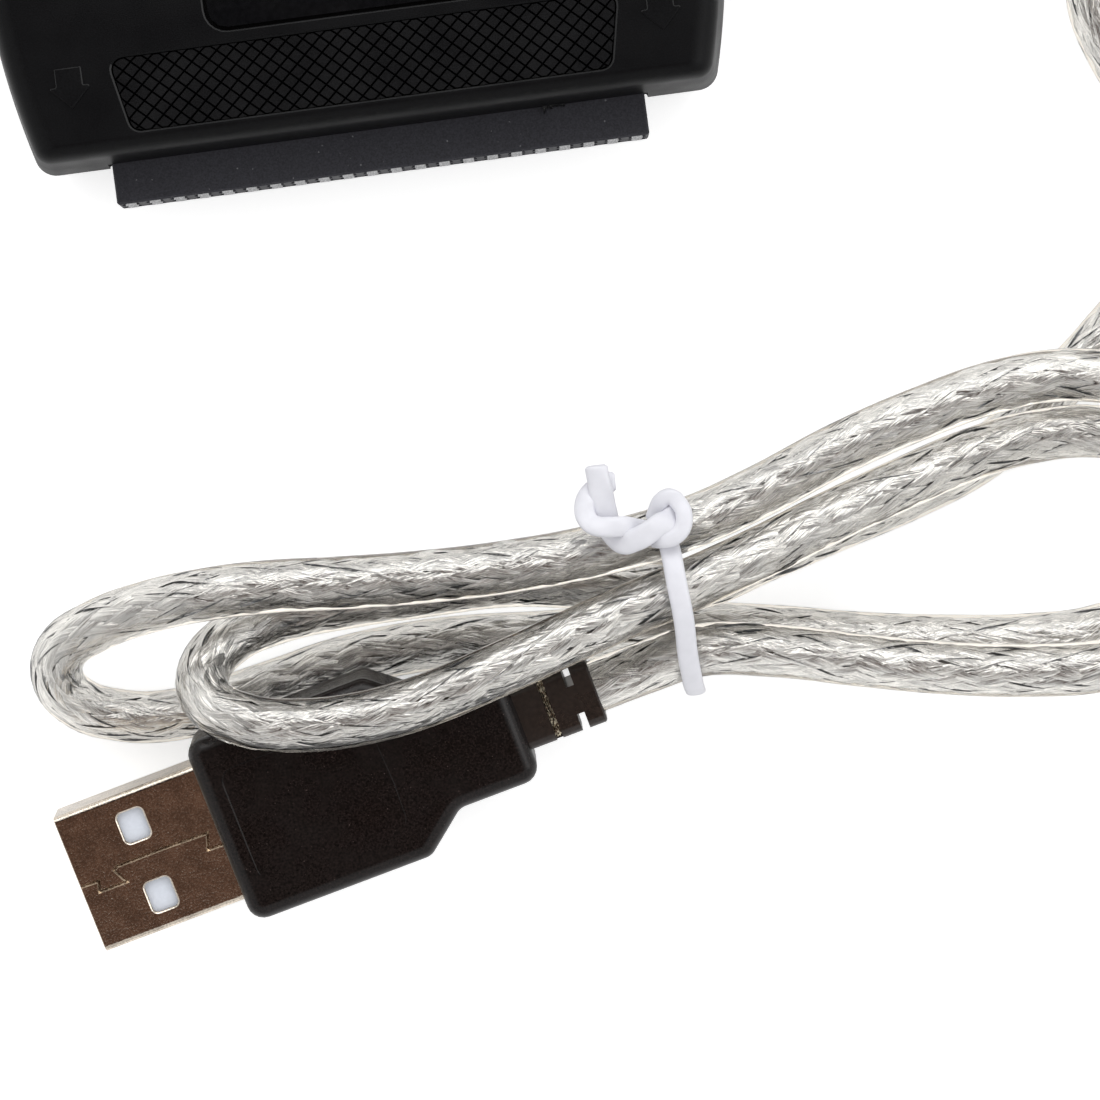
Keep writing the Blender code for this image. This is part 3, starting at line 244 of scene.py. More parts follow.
OUTER_LOOP_UNDER = [
    (48.2, -67.8, 2.4), (41.3, -67.0, 2.4), (34.1, -65.8, 2.6), (26.7, -64.2, 3.2), (20.1, -63.1, 3.5),
    (14.3, -62.6, 3.2), (7.7, -62.2, 2.6), (1.0, -61.7, 2.3), (-4.2, -61.7, 2.3), (-9.6, -62.2, 2.3),
    (-14.6, -63.2, 2.3), (-20.0, -64.2, 2.3), (-24.5, -64.6, 2.4), (-28.2, -64.0, 2.6), (-31.2, -62.6, 3.2),
    (-32.6, -60.3, 4.4), (-31.8, -58.0, 5.8), (-28.7, -56.4, 7.2),
]
OUTER_LOOP_OVER = [
    (-24.2, -55.4, 8.6), (-19.5, -55.0, 9.9), (-14.5, -55.0, 10.5), (-8.0, -55.5, 10.6), (-1.4, -55.9, 10.6),
    (6.0, -56.0, 10.5), (13.5, -55.6, 10.1), (21.1, -54.4, 9.2), (27.1, -52.6, 8.8), (34.1, -50.0, 8.6),
    (41.0, -48.0, 8.6), (47.8, -46.6, 8.6), (52.9, -46.4, 8.5), (56.1, -46.9, 8.4),
]
OUTER_TURN = [
    (61.5, -48.3, 8.0), (65.5, -51.3, 7.4), (67.6, -56.2, 6.8), (67.3, -61.6, 6.4), (64.6, -66.6, 6.4),
    (59.6, -69.8, 6.8), (53.1, -70.6, 7.0),
]
INTO_PLUG = [
    (47.4, -70.2, 7.0), (40.6, -69.1, 7.0), (33.6, -67.5, 7.2), (26.3, -65.7, 7.8), (20.5, -64.9, 8.1),
]
CABLE_ROUTE = (
    OUT_OF_CASE + INNER_LOOP_UNDER + INNER_LOOP_OVER + INNER_TURN
    + OUTER_LOOP_UNDER + OUTER_LOOP_OVER + OUTER_TURN + INTO_PLUG
)

# The tie in millimetres: the strip round the bundle, its ring, and the two ends knotted through it
TIE_STRIP = [
    (19.4, -52.2, 9.6), (19.5, -53.2, 12.1), (19.0, -55.2, 12.9), (19.1, -56.8, 13.5), (19.2, -59.1, 14.1),
    (19.4, -62.1, 13.4), (19.4, -65.0, 11.6), (19.6, -67.4, 9.4), (19.8, -68.2, 6.8), (19.7, -67.4, 3.6),
    (19.7, -65.4, 1.2), (19.8, -63.3, 0.6), (19.7, -60.7, 0.6), (19.5, -57.7, 1.4), (19.4, -54.7, 4.2),
    (19.2, -52.4, 6.6),
]
TIE_RING = [
    (17.7, -55.3, 13.2), (18.6, -55.5, 14.3), (19.4, -55.4, 14.6), (20.2, -54.8, 14.6), (20.5, -53.8, 14.5),
    (20.3, -52.9, 14.3), (19.6, -52.1, 14.1), (18.9, -52.3, 13.8), (18.4, -53.0, 13.3), (18.0, -53.9, 13.0),
]
TIE_LONG_END = [
    (20.0, -53.4, 13.0), (19.5, -53.9, 13.9), (18.6, -54.2, 14.6), (17.4, -54.8, 14.8), (16.3, -55.2, 14.5),
    (15.4, -55.3, 14.0), (14.8, -54.7, 13.4), (14.4, -53.8, 13.2), (14.3, -52.9, 13.5), (14.2, -51.9, 13.9),
    (14.1, -50.8, 14.3), (14.0, -49.7, 14.5), (14.0, -48.8, 14.6),
]
TIE_SHORT_END = [
    (17.4, -54.6, 13.0), (16.5, -54.3, 13.8), (15.5, -54.0, 14.5), (14.4, -53.9, 14.8), (13.2, -53.6, 14.7),
    (12.7, -53.0, 14.4), (12.6, -52.1, 14.1), (12.9, -51.3, 13.8), (13.6, -50.7, 13.4), (14.4, -50.3, 13.3),
    (15.4, -50.3, 13.3),
]
TIE_CENTRE = Vector((19.5, -60.0, 7.0)) * MM
TIE_STEP = 0.22 * MM
TIE_SWAY = 0.25
TIE_SWAY_RUN = 2.5 * MM
STRIP_HALF = (0.84, 0.42)
KNOT_HALF_THICKNESS = 0.46
STRIP_SIDES = 18
STRIP_SQUARENESS = 0.8
STRIP_TAPER = 0.75
KNOT = (
    ("tie_ring", TIE_RING, 0.7), ("tie_long_end", TIE_LONG_END, 0.98), ("tie_short_end", TIE_SHORT_END, 0.85),
)

# The angles from which an edge shades sharp, on a cut mesh and on a plain one
SHARP = math.radians(24)
PLAIN_SHARP = math.radians(38)

scene_root = bpy.context.scene.collection
random = np.random.default_rng(SEED)


# Building blocks


def add_piece(name, mesh, finish):
    """A mesh as a shown piece with its material, on the part's only body."""
    thing = bpy.data.objects.new(name, mesh)
    scene_root.objects.link(thing)
    mesh.materials.append(finish)
    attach(thing, "root")
    return thing


def grid_mesh(name, grid, around=False, capped=False):
    """A mesh over an array of rows of points, with the columns joined in a ring where around is true."""
    rows, columns = grid.shape[:2]
    index = np.arange(rows * columns).reshape(rows, columns)
    if around:
        index = np.concatenate((index, index[:, :1]), axis=1)
    quads = np.stack((index[:-1, :-1], index[:-1, 1:], index[1:, 1:], index[1:, :-1]), axis=-1).reshape(-1, 4)
    faces = quads.tolist()
    if capped:
        faces.append(index[0, :columns][::-1].tolist())
        faces.append(index[-1, :columns].tolist())
    mesh = bpy.data.meshes.new(name)
    mesh.from_pydata(grid.reshape(-1, 3), [], faces)
    mesh.shade_smooth()
    return mesh


def joined_grids(name, grids, flats):
    """Several open grids in one mesh, with a UV place for each of their points."""
    points = np.concatenate([grid.reshape(-1, 3) for grid in grids])
    quads = []
    start = 0
    for grid in grids:
        rows, columns = grid.shape[:2]
        index = start + np.arange(rows * columns).reshape(rows, columns)
        cells = (index[:-1, :-1], index[:-1, 1:], index[1:, 1:], index[1:, :-1])
        quads.append(np.stack(cells, axis=-1).reshape(-1, 4))
        start += rows * columns
    mesh = bpy.data.meshes.new(name)
    mesh.from_pydata(points, [], np.concatenate(quads).tolist())
    mesh.shade_smooth()
    layer = mesh.uv_layers.new(name="UVMap")
    corners = np.zeros(len(mesh.loops), dtype=np.int32)
    mesh.loops.foreach_get("vertex_index", corners)
    flat = np.concatenate([flat.reshape(-1, 2) for flat in flats])
    layer.data.foreach_set("uv", flat[corners].astype(np.float32).ravel())
    return mesh


def smooth_points(route, count, closed=False):
    """Points spaced evenly along a smooth curve through a route's points, in metres."""
    guide_data = bpy.data.curves.new("guide", "CURVE")
    guide_data.dimensions = "3D"
    guide_data.resolution_u = 24
    spline = guide_data.splines.new("BEZIER")
    spline.bezier_points.add(len(route) - 1)
    spline.use_cyclic_u = closed
    for point, place in zip(spline.bezier_points, route):
        point.co = place
        point.handle_left_type = "AUTO"
        point.handle_right_type = "AUTO"
    guide = bpy.data.objects.new("guide", guide_data)
    scene_root.objects.link(guide)
    bpy.context.view_layer.update()
    graph = bpy.context.evaluated_depsgraph_get()
    line = np.array([vertex.co for vertex in guide.evaluated_get(graph).to_mesh().vertices])
    bpy.data.objects.remove(guide)
    if closed:
        line = np.concatenate((line, line[:1]))
    travelled = travel_along(line)
    targets = np.linspace(0.0, travelled[-1], count, endpoint=not closed)
    return np.stack([np.interp(targets, travelled, line[:, axis]) for axis in range(3)], axis=-1)


def travel_along(points):
    """The distance along a line at each of its points."""
    steps = np.linalg.norm(np.diff(points, axis=0), axis=1)
    return np.concatenate(([0.0], np.cumsum(steps)))


def guide_along(points):
    """A line's points, distances and two cross directions that turn with it as little as possible."""
    tangents = np.gradient(points, axis=0)
    tangents /= np.linalg.norm(tangents, axis=1)[:, None]
    first = np.empty_like(points)
    side = np.cross(tangents[0], (0.0, 0.0, 1.0))
    first[0] = side / np.linalg.norm(side)
    for i in range(1, len(points)):
        turned = first[i - 1] - tangents[i] * (first[i - 1] @ tangents[i])
        first[i] = turned / np.linalg.norm(turned)
    return points, travel_along(points), first, np.cross(tangents, first)


def around_guide(guide, travel, angle, radius):
    """Points at distances along a guide, angles round it and distances from it."""
    points, distances, first, second = guide

    def at(values):
        return np.stack([np.interp(travel, distances, values[:, axis]) for axis in range(3)], axis=-1)

    cosine = np.cos(angle)[..., None]
    sine = np.sin(angle)[..., None]
    return at(points) + np.asarray(radius)[..., None] * (cosine * at(first) + sine * at(second))


def smooth_noise(rows, columns, window):
    """Columns of seeded noise, each smoothed over a window of rows, about 1 in size."""
    window = max(3, int(window))
    bell = np.hanning(window + 2)[1:-1]
    raw = random.normal(size=(rows + window - 1, columns))
    smoothed = np.stack([np.convolve(raw[:, i], bell, mode="valid") for i in range(columns)], axis=-1)
    return smoothed / np.sqrt(np.sum(bell ** 2))


def rectangle(x_range, y_range):
    """A rectangle's corners, anticlockwise."""
    (left, right), (low, high) = x_range, y_range
    return [(left, low), (right, low), (right, high), (left, high)]


def rounded_outline(corners, radius, inset=0.0, steps=5):
    """An outline, given anticlockwise, moved inwards by inset, with its corners rounded.

    Outward corners lose the inset from their radius and inward ones gain it, so the edge stays even.
    """
    corners = [Vector(corner) for corner in corners]
    count = len(corners)
    outline = []
    for i in range(count):
        into = (corners[i] - corners[i - 1]).normalized()
        onward = (corners[(i + 1) % count] - corners[i]).normalized()
        normals = [Vector((-way.y, way.x)) for way in (into, onward)]
        corner = corners[i] + (normals[0] + normals[1]) * inset / (1 + normals[0].dot(normals[1]))
        turn = math.atan2(into.cross(onward), into.dot(onward))
        bend = radius - inset if turn > 0 else radius + inset
        reach = bend * math.tan(abs(turn) / 2)
        centre = corner - into * reach + normals[0] * math.copysign(bend, turn)
        start = corner - into * reach - centre
        for step in range(steps + 1):
            outline.append(centre + Matrix.Rotation(turn * step / steps, 2) @ start)
    return outline


def loft(name, rings):
    """A closed solid through rings of equally many points in millimetres."""
    shape = bmesh.new()
    loops = [[shape.verts.new(Vector(point) * MM) for point in ring] for ring in rings]
    count = len(rings[0])
    for lower, upper in zip(loops, loops[1:]):
        for i in range(count):
            j = (i + 1) % count
            shape.faces.new((lower[i], lower[j], upper[j], upper[i]))
    shape.faces.new(loops[0])
    shape.faces.new(loops[-1])
    bmesh.ops.recalc_face_normals(shape, faces=shape.faces)
    mesh = bpy.data.meshes.new(name)
    shape.to_mesh(mesh)
    shape.free()
    mesh.shade_smooth()
    mesh.set_sharp_from_angle(angle=PLAIN_SHARP)
    return mesh


def with_modifiers(mesh, *modifiers):
    """A copy of the mesh with modifiers applied, each a type and its settings."""
    thing = bpy.data.objects.new("being_made", mesh)
    scene_root.objects.link(thing)
    for kind, settings in modifiers:
        modifier = thing.modifiers.new(kind.lower(), kind)
        for name, value in settings.items():
            setattr(modifier, name, value)
    bpy.context.view_layer.update()
    graph = bpy.context.evaluated_depsgraph_get()
    result = bpy.data.meshes.new_from_object(thing.evaluated_get(graph))
    result.name = mesh.name
    bpy.data.objects.remove(thing)
    return result


def cut(mesh, *cutters):
    """The mesh less each cutter, with flat faces that shade flat."""
    tools = [bpy.data.objects.new("cutter", cutter) for cutter in cutters]
    for tool in tools:
        scene_root.objects.link(tool)
    result = with_modifiers(mesh, *(("BOOLEAN", {"object": tool, "solver": "EXACT"}) for tool in tools))
    for tool in tools:
        bpy.data.objects.remove(tool)
    result.set_sharp_from_angle(angle=SHARP)
    return with_modifiers(result, ("WEIGHTED_NORMAL", {"keep_sharp": True}))


def strip_mesh(name, points, outward, half_width, half_thickness, closed=False):
    """A flat strip with a rounded section along points, its flat side facing outward."""
    if closed:
        tangents = np.roll(points, -1, axis=0) - np.roll(points, 1, axis=0)
    else:
        tangents = np.gradient(points, axis=0)
    tangents /= np.linalg.norm(tangents, axis=1)[:, None]
    across = np.cross(tangents, outward)
    across /= np.linalg.norm(across, axis=1)[:, None]
    up = np.cross(across, tangents)
    angle = np.linspace(0.0, 2 * math.pi, STRIP_SIDES, endpoint=False)
    wide, thick = [np.sign(way) * np.abs(way) ** STRIP_SQUARENESS for way in (np.cos(angle), np.sin(angle))]
    sizes = np.ones(len(points))
    if not closed:
        sizes[0] = sizes[-1] = STRIP_TAPER
    grid = (points[:, None] + across[:, None] * (half_width * sizes)[:, None, None] * wide[None, :, None]
            + up[:, None] * (half_thickness * sizes)[:, None, None] * thick[None, :, None])
    if closed:
        grid = np.concatenate((grid, grid[:1]))
    return grid_mesh(name, grid, around=True, capped=not closed)


# Materials


def add_node(tree, kind, inputs=None, **settings):
    """A node with its settings, and each input linked to a socket or set to a value."""
    made = tree.nodes.new(kind)
    for name, value in settings.items():
        setattr(made, name, value)
    for name, value in (inputs or {}).items():
        if isinstance(value, bpy.types.NodeSocket):
            tree.links.new(value, made.inputs[name])
        else:
            made.inputs[name].default_value = value
    return made


def new_material(name):
    made = bpy.data.materials.new(name)
    made.use_nodes = True
    tree = made.node_tree
    shader = tree.nodes["Principled BSDF"]
    place = add_node(tree, "ShaderNodeTexCoord").outputs["Object"]
    return made, tree, shader, place


def noise(tree, place, size, detail=2.0, roughness=0.5):
    """Noise whose features are about this size in metres."""
    return add_node(tree, "ShaderNodeTexNoise", {
        "Vector": place, "Scale": 1.0 / size, "Detail": detail, "Roughness": roughness,
    }).outputs["Fac"]


def between(tree, factor, low, high, start=0.0, end=1.0):
    """A number from low to high as the factor goes from start to end."""
    return add_node(tree, "ShaderNodeMapRange", {
        "Value": factor, "From Min": start, "From Max": end, "To Min": low, "To Max": high,
    }).outputs["Result"]


def combine(tree, operation, first, second):
    """Two numbers put through a math node."""
    return add_node(tree, "ShaderNodeMath", {0: first, 1: second}, operation=operation).outputs["Value"]


def blend_colour(tree, factor, first, second):
    mix = tree.nodes.new("ShaderNodeMix")
    mix.data_type = "RGBA"
    for socket, value in ((mix.inputs[0], factor), (mix.inputs[6], first), (mix.inputs[7], second)):
        if isinstance(value, bpy.types.NodeSocket):
            tree.links.new(value, socket)
        else:
            socket.default_value = value if isinstance(value, float) else (*value, 1.0)
    return mix.outputs[2]


def bump(tree, height, depth):
    return add_node(tree, "ShaderNodeBump", {"Height": height, "Distance": depth}).outputs["Normal"]


def moulded_plastic(name, colour, roughness, grain=0.12 * MM, depth=0.008 * MM, spread=0.3, shine=0.5,
                    speck=None, speck_size=0.3 * MM):
    """Moulded plastic with a fine grain, slow changes of gloss, and pale specks of dust or filler."""
    made, tree, shader, place = new_material(name)
    cloud = noise(tree, place, 4.0 * MM, 3.0)
    fine = noise(tree, place, grain, 2.0)
    pale = tuple((1 + spread) * value for value in colour)
    dark = tuple((1 - spread) * value for value in colour)
    tone = blend_colour(tree, between(tree, fine, 0.0, 1.0, 0.3, 0.7), dark, pale)
    if speck:
        cells = add_node(tree, "ShaderNodeTexVoronoi", {"Vector": place, "Scale": 1.0 / (4 * speck_size)})
        near = between(tree, cells.outputs["Distance"], 1.0, 0.0, 0.06, 0.13)
        some = between(tree, noise(tree, place, 1.3 * speck_size, 0.0), 0.0, 1.0, 0.56, 0.62)
        tone = blend_colour(tree, combine(tree, "MULTIPLY", near, some), tone, speck)
    tree.links.new(tone, shader.inputs["Base Color"])
    tree.links.new(between(tree, cloud, roughness - 0.06, roughness + 0.06, 0.3, 0.7),
                   shader.inputs["Roughness"])
    tree.links.new(bump(tree, fine, depth), shader.inputs["Normal"])
    shader.inputs["Specular IOR Level"].default_value = shine
    return made


def plain_metal(name, colour, roughness, grain=0.15 * MM, depth=0.004 * MM, stain=0.18):
    """Plated or drawn metal with a fine grain and slight stains."""
    made, tree, shader, place = new_material(name)
    fine = noise(tree, place, grain, 3.0)
    cloud = noise(tree, place, 2.0 * MM, 4.0, 0.65)
    dull = tuple((1 - stain) * value for value in colour)
    both = combine(tree, "ADD", fine, cloud)
    tree.links.new(blend_colour(tree, between(tree, both, 0.0, 1.0, 0.8, 1.2), dull, colour),
                   shader.inputs["Base Color"])
    tree.links.new(between(tree, fine, 0.8 * roughness, 1.25 * roughness, 0.3, 0.7),
                   shader.inputs["Roughness"])
    tree.links.new(bump(tree, fine, depth), shader.inputs["Normal"])
    shader.inputs["Metallic"].default_value = 1.0
    return made


def braid_metal(name):
    """Tinned wires side by side: streaks along each carrier, and wires that shine differently."""
    made, tree, shader, place = new_material(name)
    flat = add_node(tree, "ShaderNodeTexCoord").outputs["UV"]

    def streaks(along, across, detail):
        stretched = add_node(tree, "ShaderNodeVectorMath", {0: flat, 1: (along, across, 1.0)},
                             operation="MULTIPLY")
        return add_node(tree, "ShaderNodeTexNoise", {
            "Vector": stretched.outputs["Vector"], "Scale": 1.0, "Detail": detail, "Roughness": 0.55,
        }).outputs["Fac"]

    wires = streaks(0.35, 7.0, 3.0)
    bundles = streaks(0.22, 1.1, 1.0)
    both = combine(tree, "ADD", wires, bundles)
    tone = blend_colour(tree, between(tree, both, 0.0, 1.0, 0.8, 1.2), (0.56, 0.58, 0.61),
                        (0.85, 0.875, 0.91))
    tree.links.new(tone, shader.inputs["Base Color"])
    tree.links.new(bump(tree, wires, 0.075 * MM), shader.inputs["Normal"])
    tree.links.new(between(tree, bundles, 0.13, 0.27, 0.35, 0.65), shader.inputs["Roughness"])
    shader.inputs["Metallic"].default_value = 1.0
    return made


def clear_jacket(name):
    """Clear soft PVC with a faint cream tint, through which lamps reach the braid."""
    made, tree, shader, place = new_material(name)
    shader.inputs["Base Color"].default_value = (0.97, 0.915, 0.83, 1.0)
    shader.inputs["Transmission Weight"].default_value = 1.0
    shader.inputs["IOR"].default_value = 1.45
    ripple = noise(tree, place, 2.4 * MM, 1.0)
    tree.links.new(bump(tree, ripple, 0.06 * MM), shader.inputs["Normal"])
    tree.links.new(between(tree, ripple, 0.0, 0.03, 0.3, 0.7), shader.inputs["Roughness"])
    output = tree.nodes["Material Output"]
    shadow = add_node(tree, "ShaderNodeLightPath").outputs["Is Shadow Ray"]
    through = add_node(tree, "ShaderNodeBsdfTransparent", {"Color": (0.93, 0.92, 0.89, 1.0)})
    mix = add_node(tree, "ShaderNodeMixShader", {
        0: shadow, 1: shader.outputs["BSDF"], 2: through.outputs["BSDF"],
    })
    tree.links.new(mix.outputs["Shader"], output.inputs["Surface"])
    return made


CASE_PLASTIC = moulded_plastic("fine_grained_black", (0.0032, 0.0032, 0.0038), 0.4, 0.1 * MM, 0.01 * MM,
                               spread=0.6, shine=0.14)
# Painted highlight: a lighter, glossier copy of the case's black for slants that face the back and sides
EDGE_HIGHLIGHT = moulded_plastic("black_edge_painted_highlight", (0.005, 0.005, 0.0056), 0.3, 0.1 * MM, 0.002 * MM, shine=0.6)
GRIP_PLASTIC = moulded_plastic("grip_black", (0.0045, 0.0045, 0.0052), 0.38, 0.1 * MM, 0.01 * MM, spread=0.6,
                               shine=0.2)
PLUG_PLASTIC = moulded_plastic("smooth_plug_black", (0.0082, 0.0054, 0.0049), 0.26, 0.18 * MM, 0.006 * MM,
                               spread=0.9, shine=0.3, speck=(0.07, 0.05, 0.045), speck_size=0.13 * MM)
# The relief's base is lighter and browner than the grip's: partly its own rougher plastic, partly a painted
# reflection of the brown ceiling
RELIEF_BROWN_AND_SHEEN = moulded_plastic("relief_brown_and_painted_sheen", (0.02, 0.013, 0.01), 0.3, 0.3 * MM, 0.004 * MM)
# Painted highlight for the lower chamfers of the socket's funnels
LIP_HIGHLIGHT = moulded_plastic("painted_highlight_lip", (0.6, 0.6, 0.61), 0.5)
TIE_PLASTIC = moulded_plastic("white_tie_coating", (0.78, 0.78, 0.83), 0.36, 1.2 * MM, 0.02 * MM, spread=0.03)
PLUG_METAL = plain_metal("plug_plate", (0.88, 0.78, 0.66), 0.13, 0.16 * MM, 0.02 * MM, stain=0.4)
BRAID_METAL = braid_metal("tinned_braid")
FOIL_METAL = plain_metal("screen_foil", (0.5, 0.47, 0.43), 0.35, 0.5 * MM, 0.05 * MM)
GOLDEN_FOIL = plain_metal("wrinkled_foil", (0.75, 0.66, 0.5), 0.2, 0.3 * MM, 0.08 * MM)
CLEAR_JACKET = clear_jacket("clear_jacket")

SLOT_MATERIALS = {
    "case_plastic": CASE_PLASTIC,
    "label_plastic": moulded_plastic("glossy_label_black", (0.0035, 0.0035, 0.004), 0.14, 0.5 * MM,
                                     0.0005 * MM),
    "socket_plastic": moulded_plastic("slate_filled_plastic", (0.029, 0.029, 0.036), 0.55, 0.14 * MM,
                                      0.01 * MM, shine=0.3, speck=(0.14, 0.14, 0.15), speck_size=0.2 * MM),
    "board": moulded_plastic("green_solder_mask", (0.01, 0.09, 0.03), 0.3, 1.2 * MM, 0.004 * MM),
    "chip_plastic": moulded_plastic("chip_epoxy", (0.014, 0.014, 0.015), 0.6, 0.12 * MM, 0.006 * MM),
    "can_metal": plain_metal("drawn_can", (0.62, 0.62, 0.64), 0.3),
    "screw_steel": plain_metal("plated_steel", (0.4, 0.4, 0.42), 0.34),
    "contact_metal": plain_metal("gold_plate", (0.85, 0.6, 0.24), 0.25),
    "cable_jacket": CLEAR_JACKET,
    "plug_plastic": PLUG_PLASTIC,
    "plug_metal": PLUG_METAL,
    "insulator_plastic": moulded_plastic("white_insulator", (0.74, 0.78, 0.86), 0.45, 0.3 * MM, 0.001 * MM,
                                         spread=0.03),
    "tie_plastic": TIE_PLASTIC,
}
WIRE_COLOURS = {"red": (0.6, 0.02, 0.02), "white": (0.75, 0.75, 0.75), "green": (0.02, 0.35, 0.06),
                "black": (0.02, 0.02, 0.02)}
for wire, shade in WIRE_COLOURS.items():
    SLOT_MATERIALS[f"wire_{wire}"] = moulded_plastic(f"{wire}_wire", shade, 0.4)


def dress_cad_nodes():
    """Each CAD node gets the procedural material of its record slot."""
    for subpart in frame["record"]["subparts"]:
        thing = nodes[subpart["node"]]
        thing.data.materials.clear()
        thing.data.materials.append(SLOT_MATERIALS[subpart["material_slot"]])


# Cable


def plug_matrix():
    """The plug's place and turn, from the shell's front edge."""
    turn = Matrix.Rotation(PLUG_HEADING, 4, "Z") @ Matrix.Rotation(-PLUG_PITCH, 4, "Y")
    return Matrix.Translation(PLUG_TIP) @ turn @ Matrix.Rotation(PLUG_ROLL, 4, "X")


def cable_line():
    """The cable's centreline, begun a little inside the sleeve."""
    start = SLEEVE_END - Vector((INTO_SLEEVE, 0.0, 0.0))
    end = plug_matrix() @ Vector((RELIEF_END * MM - CLEARANCE, 0.0, 0.0))
    before_end = plug_matrix() @ Vector((RELIEF_END * MM + 2 * CABLE_RADIUS, 0.0, 0.0))
    route = [start, SLEEVE_END] + [Vector(place) * MM for place in CABLE_ROUTE] + [before_end, end]
    rough = smooth_points(route, 400)
    return smooth_points(route, int(travel_along(rough)[-1] / CABLE_STEP))


def tube_grid(guide, radius, step, sides):
    """Rings of a round tube along a guide."""
    total = guide[1][-1]
    travel = np.linspace(0.0, total, int(total / step) + 1)[:, None]
    angle = np.linspace(0.0, 2 * math.pi, sides, endpoint=False)[None, :]
    travel, angle = np.broadcast_arrays(travel, angle)
    return around_guide(guide, travel, angle, np.full(travel.shape, radius))


def carrier_grid(guide, hand, carrier):
    """One flat bundle of wires that winds round the cable, over and under those of the other hand."""
    total = guide[1][-1]
    rows = int(total / BRAID_STEP) + 1
    columns = 2 * CARRIER_WIRES + 1

    def wander(size, run, lines):
        return size * smooth_noise(rows, lines, run / BRAID_STEP)

    helix = math.atan(2 * math.pi * BRAID_RADIUS / BRAID_LAY)
    spacing = 2 * math.pi * BRAID_RADIUS * math.cos(helix) / CARRIERS
    share = np.linspace(-0.5, 0.5, columns)[None, :] * CARRIER_SHARE
    drift = wander(*CARRIER_DRIFT, 1) + wander(*WIRE_DRIFT, columns)
    across = (share + drift) * spacing
    tip = wander(CARRIER_TIP, TIP_RUN, 1) * share * spacing
    middle = np.linspace(0.0, total, rows)[:, None]
    travel = middle - hand * across * math.sin(helix)
    angle = (hand * 2 * math.pi * middle / BRAID_LAY + 2 * math.pi * carrier / CARRIERS
             + across * math.cos(helix) / BRAID_RADIUS)
    turns = angle / (2 * math.pi)
    laid = travel / BRAID_LAY
    weave = np.cos(math.pi * CARRIERS * (turns - laid)) * np.cos(math.pi * CARRIERS * (turns + laid))
    ridge = WIRE_RIDGE * (np.arange(columns) % 2)[None, :]
    lift = wander(*WIRE_LIFT, columns)
    radius = BRAID_RADIUS + hand * BRAID_WAVE * weave + ridge + lift + tip
    travel = np.clip(travel, 0.0, total)
    apart = across / MM + CARRIER_SHIFT * carrier + HAND_SHIFT * hand
    flat = np.stack(np.broadcast_arrays(middle / MM, apart), axis=-1)
    return around_guide(guide, travel, angle, radius), flat


def build_braid(guide, name, hand):
    grids = [carrier_grid(guide, hand, carrier) for carrier in range(CARRIERS)]
    mesh = joined_grids(name, [grid for grid, flat in grids], [flat for grid, flat in grids])
    return add_piece(name, mesh, BRAID_METAL)


def build_cable(riders):
    """The cable's core, braid and jacket; the plug and tie that it is given are not used."""
    guide = guide_along(cable_line())

    def tube(name, radius, step, sides, finish):
        grid = tube_grid(guide, radius, step, sides)
        return add_piece(name, grid_mesh(name, grid, around=True, capped=True), finish)

    jacket = tube("cable_jacket", CABLE_RADIUS, JACKET_STEP, JACKET_SIDES, CLEAR_JACKET)
    core = tube("cable_core", CORE_RADIUS, 2 * JACKET_STEP, CORE_SIDES, FOIL_METAL)
    pieces = [core, build_braid(guide, "braid_left", 1), build_braid(guide, "braid_right", -1)]
    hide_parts("usb_cable")


# Tie


def tie_line(places, closed=False):
    """Even points along a strip's smooth line."""
    route = [Vector(place) * MM for place in places]
    length = sum((after - before).length for before, after in zip(route, route[1:]))
    return smooth_points(route, int(length / TIE_STEP), closed)


def build_tie():
    """The flat strip round the bundle, and the ring and two ends that make its knot."""
    strip = tie_line(TIE_STRIP, closed=True)
    away = strip - np.array(TIE_CENTRE)
    away[:, 0] = 0.0
    pieces = [("tie_strip", strip, away, *STRIP_HALF, True)]
    up = np.array((0.0, 0.0, 1.0))
    for name, places, half_width in KNOT:
        line = tie_line(places)
        sway = TIE_SWAY * smooth_noise(len(line), 2, TIE_SWAY_RUN / TIE_STEP)
        outward = up + np.concatenate((sway, np.zeros((len(line), 1))), axis=1)
        pieces.append((name, line, outward, half_width, KNOT_HALF_THICKNESS, False))
    made = []
    for name, line, outward, half_width, half_thickness, closed in pieces:
        mesh = strip_mesh(name, line, outward, half_width * MM, half_thickness * MM, closed)
        made.append(add_piece(name, mesh, TIE_PLASTIC))
    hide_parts("twist_tie")
    return made


# Plug


def side_ring(x, inset, half_width, half_height, corner):
    """A rounded rectangle across the plug's axis."""
    corners = rectangle((-half_width, half_width), (-half_height, half_height))
    return [(x, point.x, point.y) for point in rounded_outline(corners, corner, inset)]


def level_prism(name, corners, corner, levels):
    """A rounded outline through levels, each an inset and a height."""
    return loft(name, [[(point.x, point.y, z) for point in rounded_outline(corners, corner, inset)]
                       for inset, z in levels])


def slot(name, x_range, y_range, z_range):
    """A plain block to cut with."""
    return loft(name, [[(x, y, z) for x, y in rectangle(x_range, y_range)] for z in z_range])


def seam_cutter(top):
    """A V-shaped groove along the fold's seam."""
    line = [Vector(place) for place in SEAM_LINE]
    rings = []
    for i, place in enumerate(line):
        into = (place - line[i - 1]).normalized() if i else (line[1] - place).normalized()
        onward = (line[i + 1] - place).normalized() if i < len(line) - 1 else into
        mitre = Vector((-into.y - onward.y, into.x + onward.x)) / (1 + into.dot(onward))
        left = place + mitre * SEAM_HALF
        right = place - mitre * SEAM_HALF
        rings.append([(left.x, left.y, top + 0.01), (right.x, right.y, top + 0.01),
                      (place.x, place.y, top - SEAM_DEPTH)])
    return loft("seam", rings)


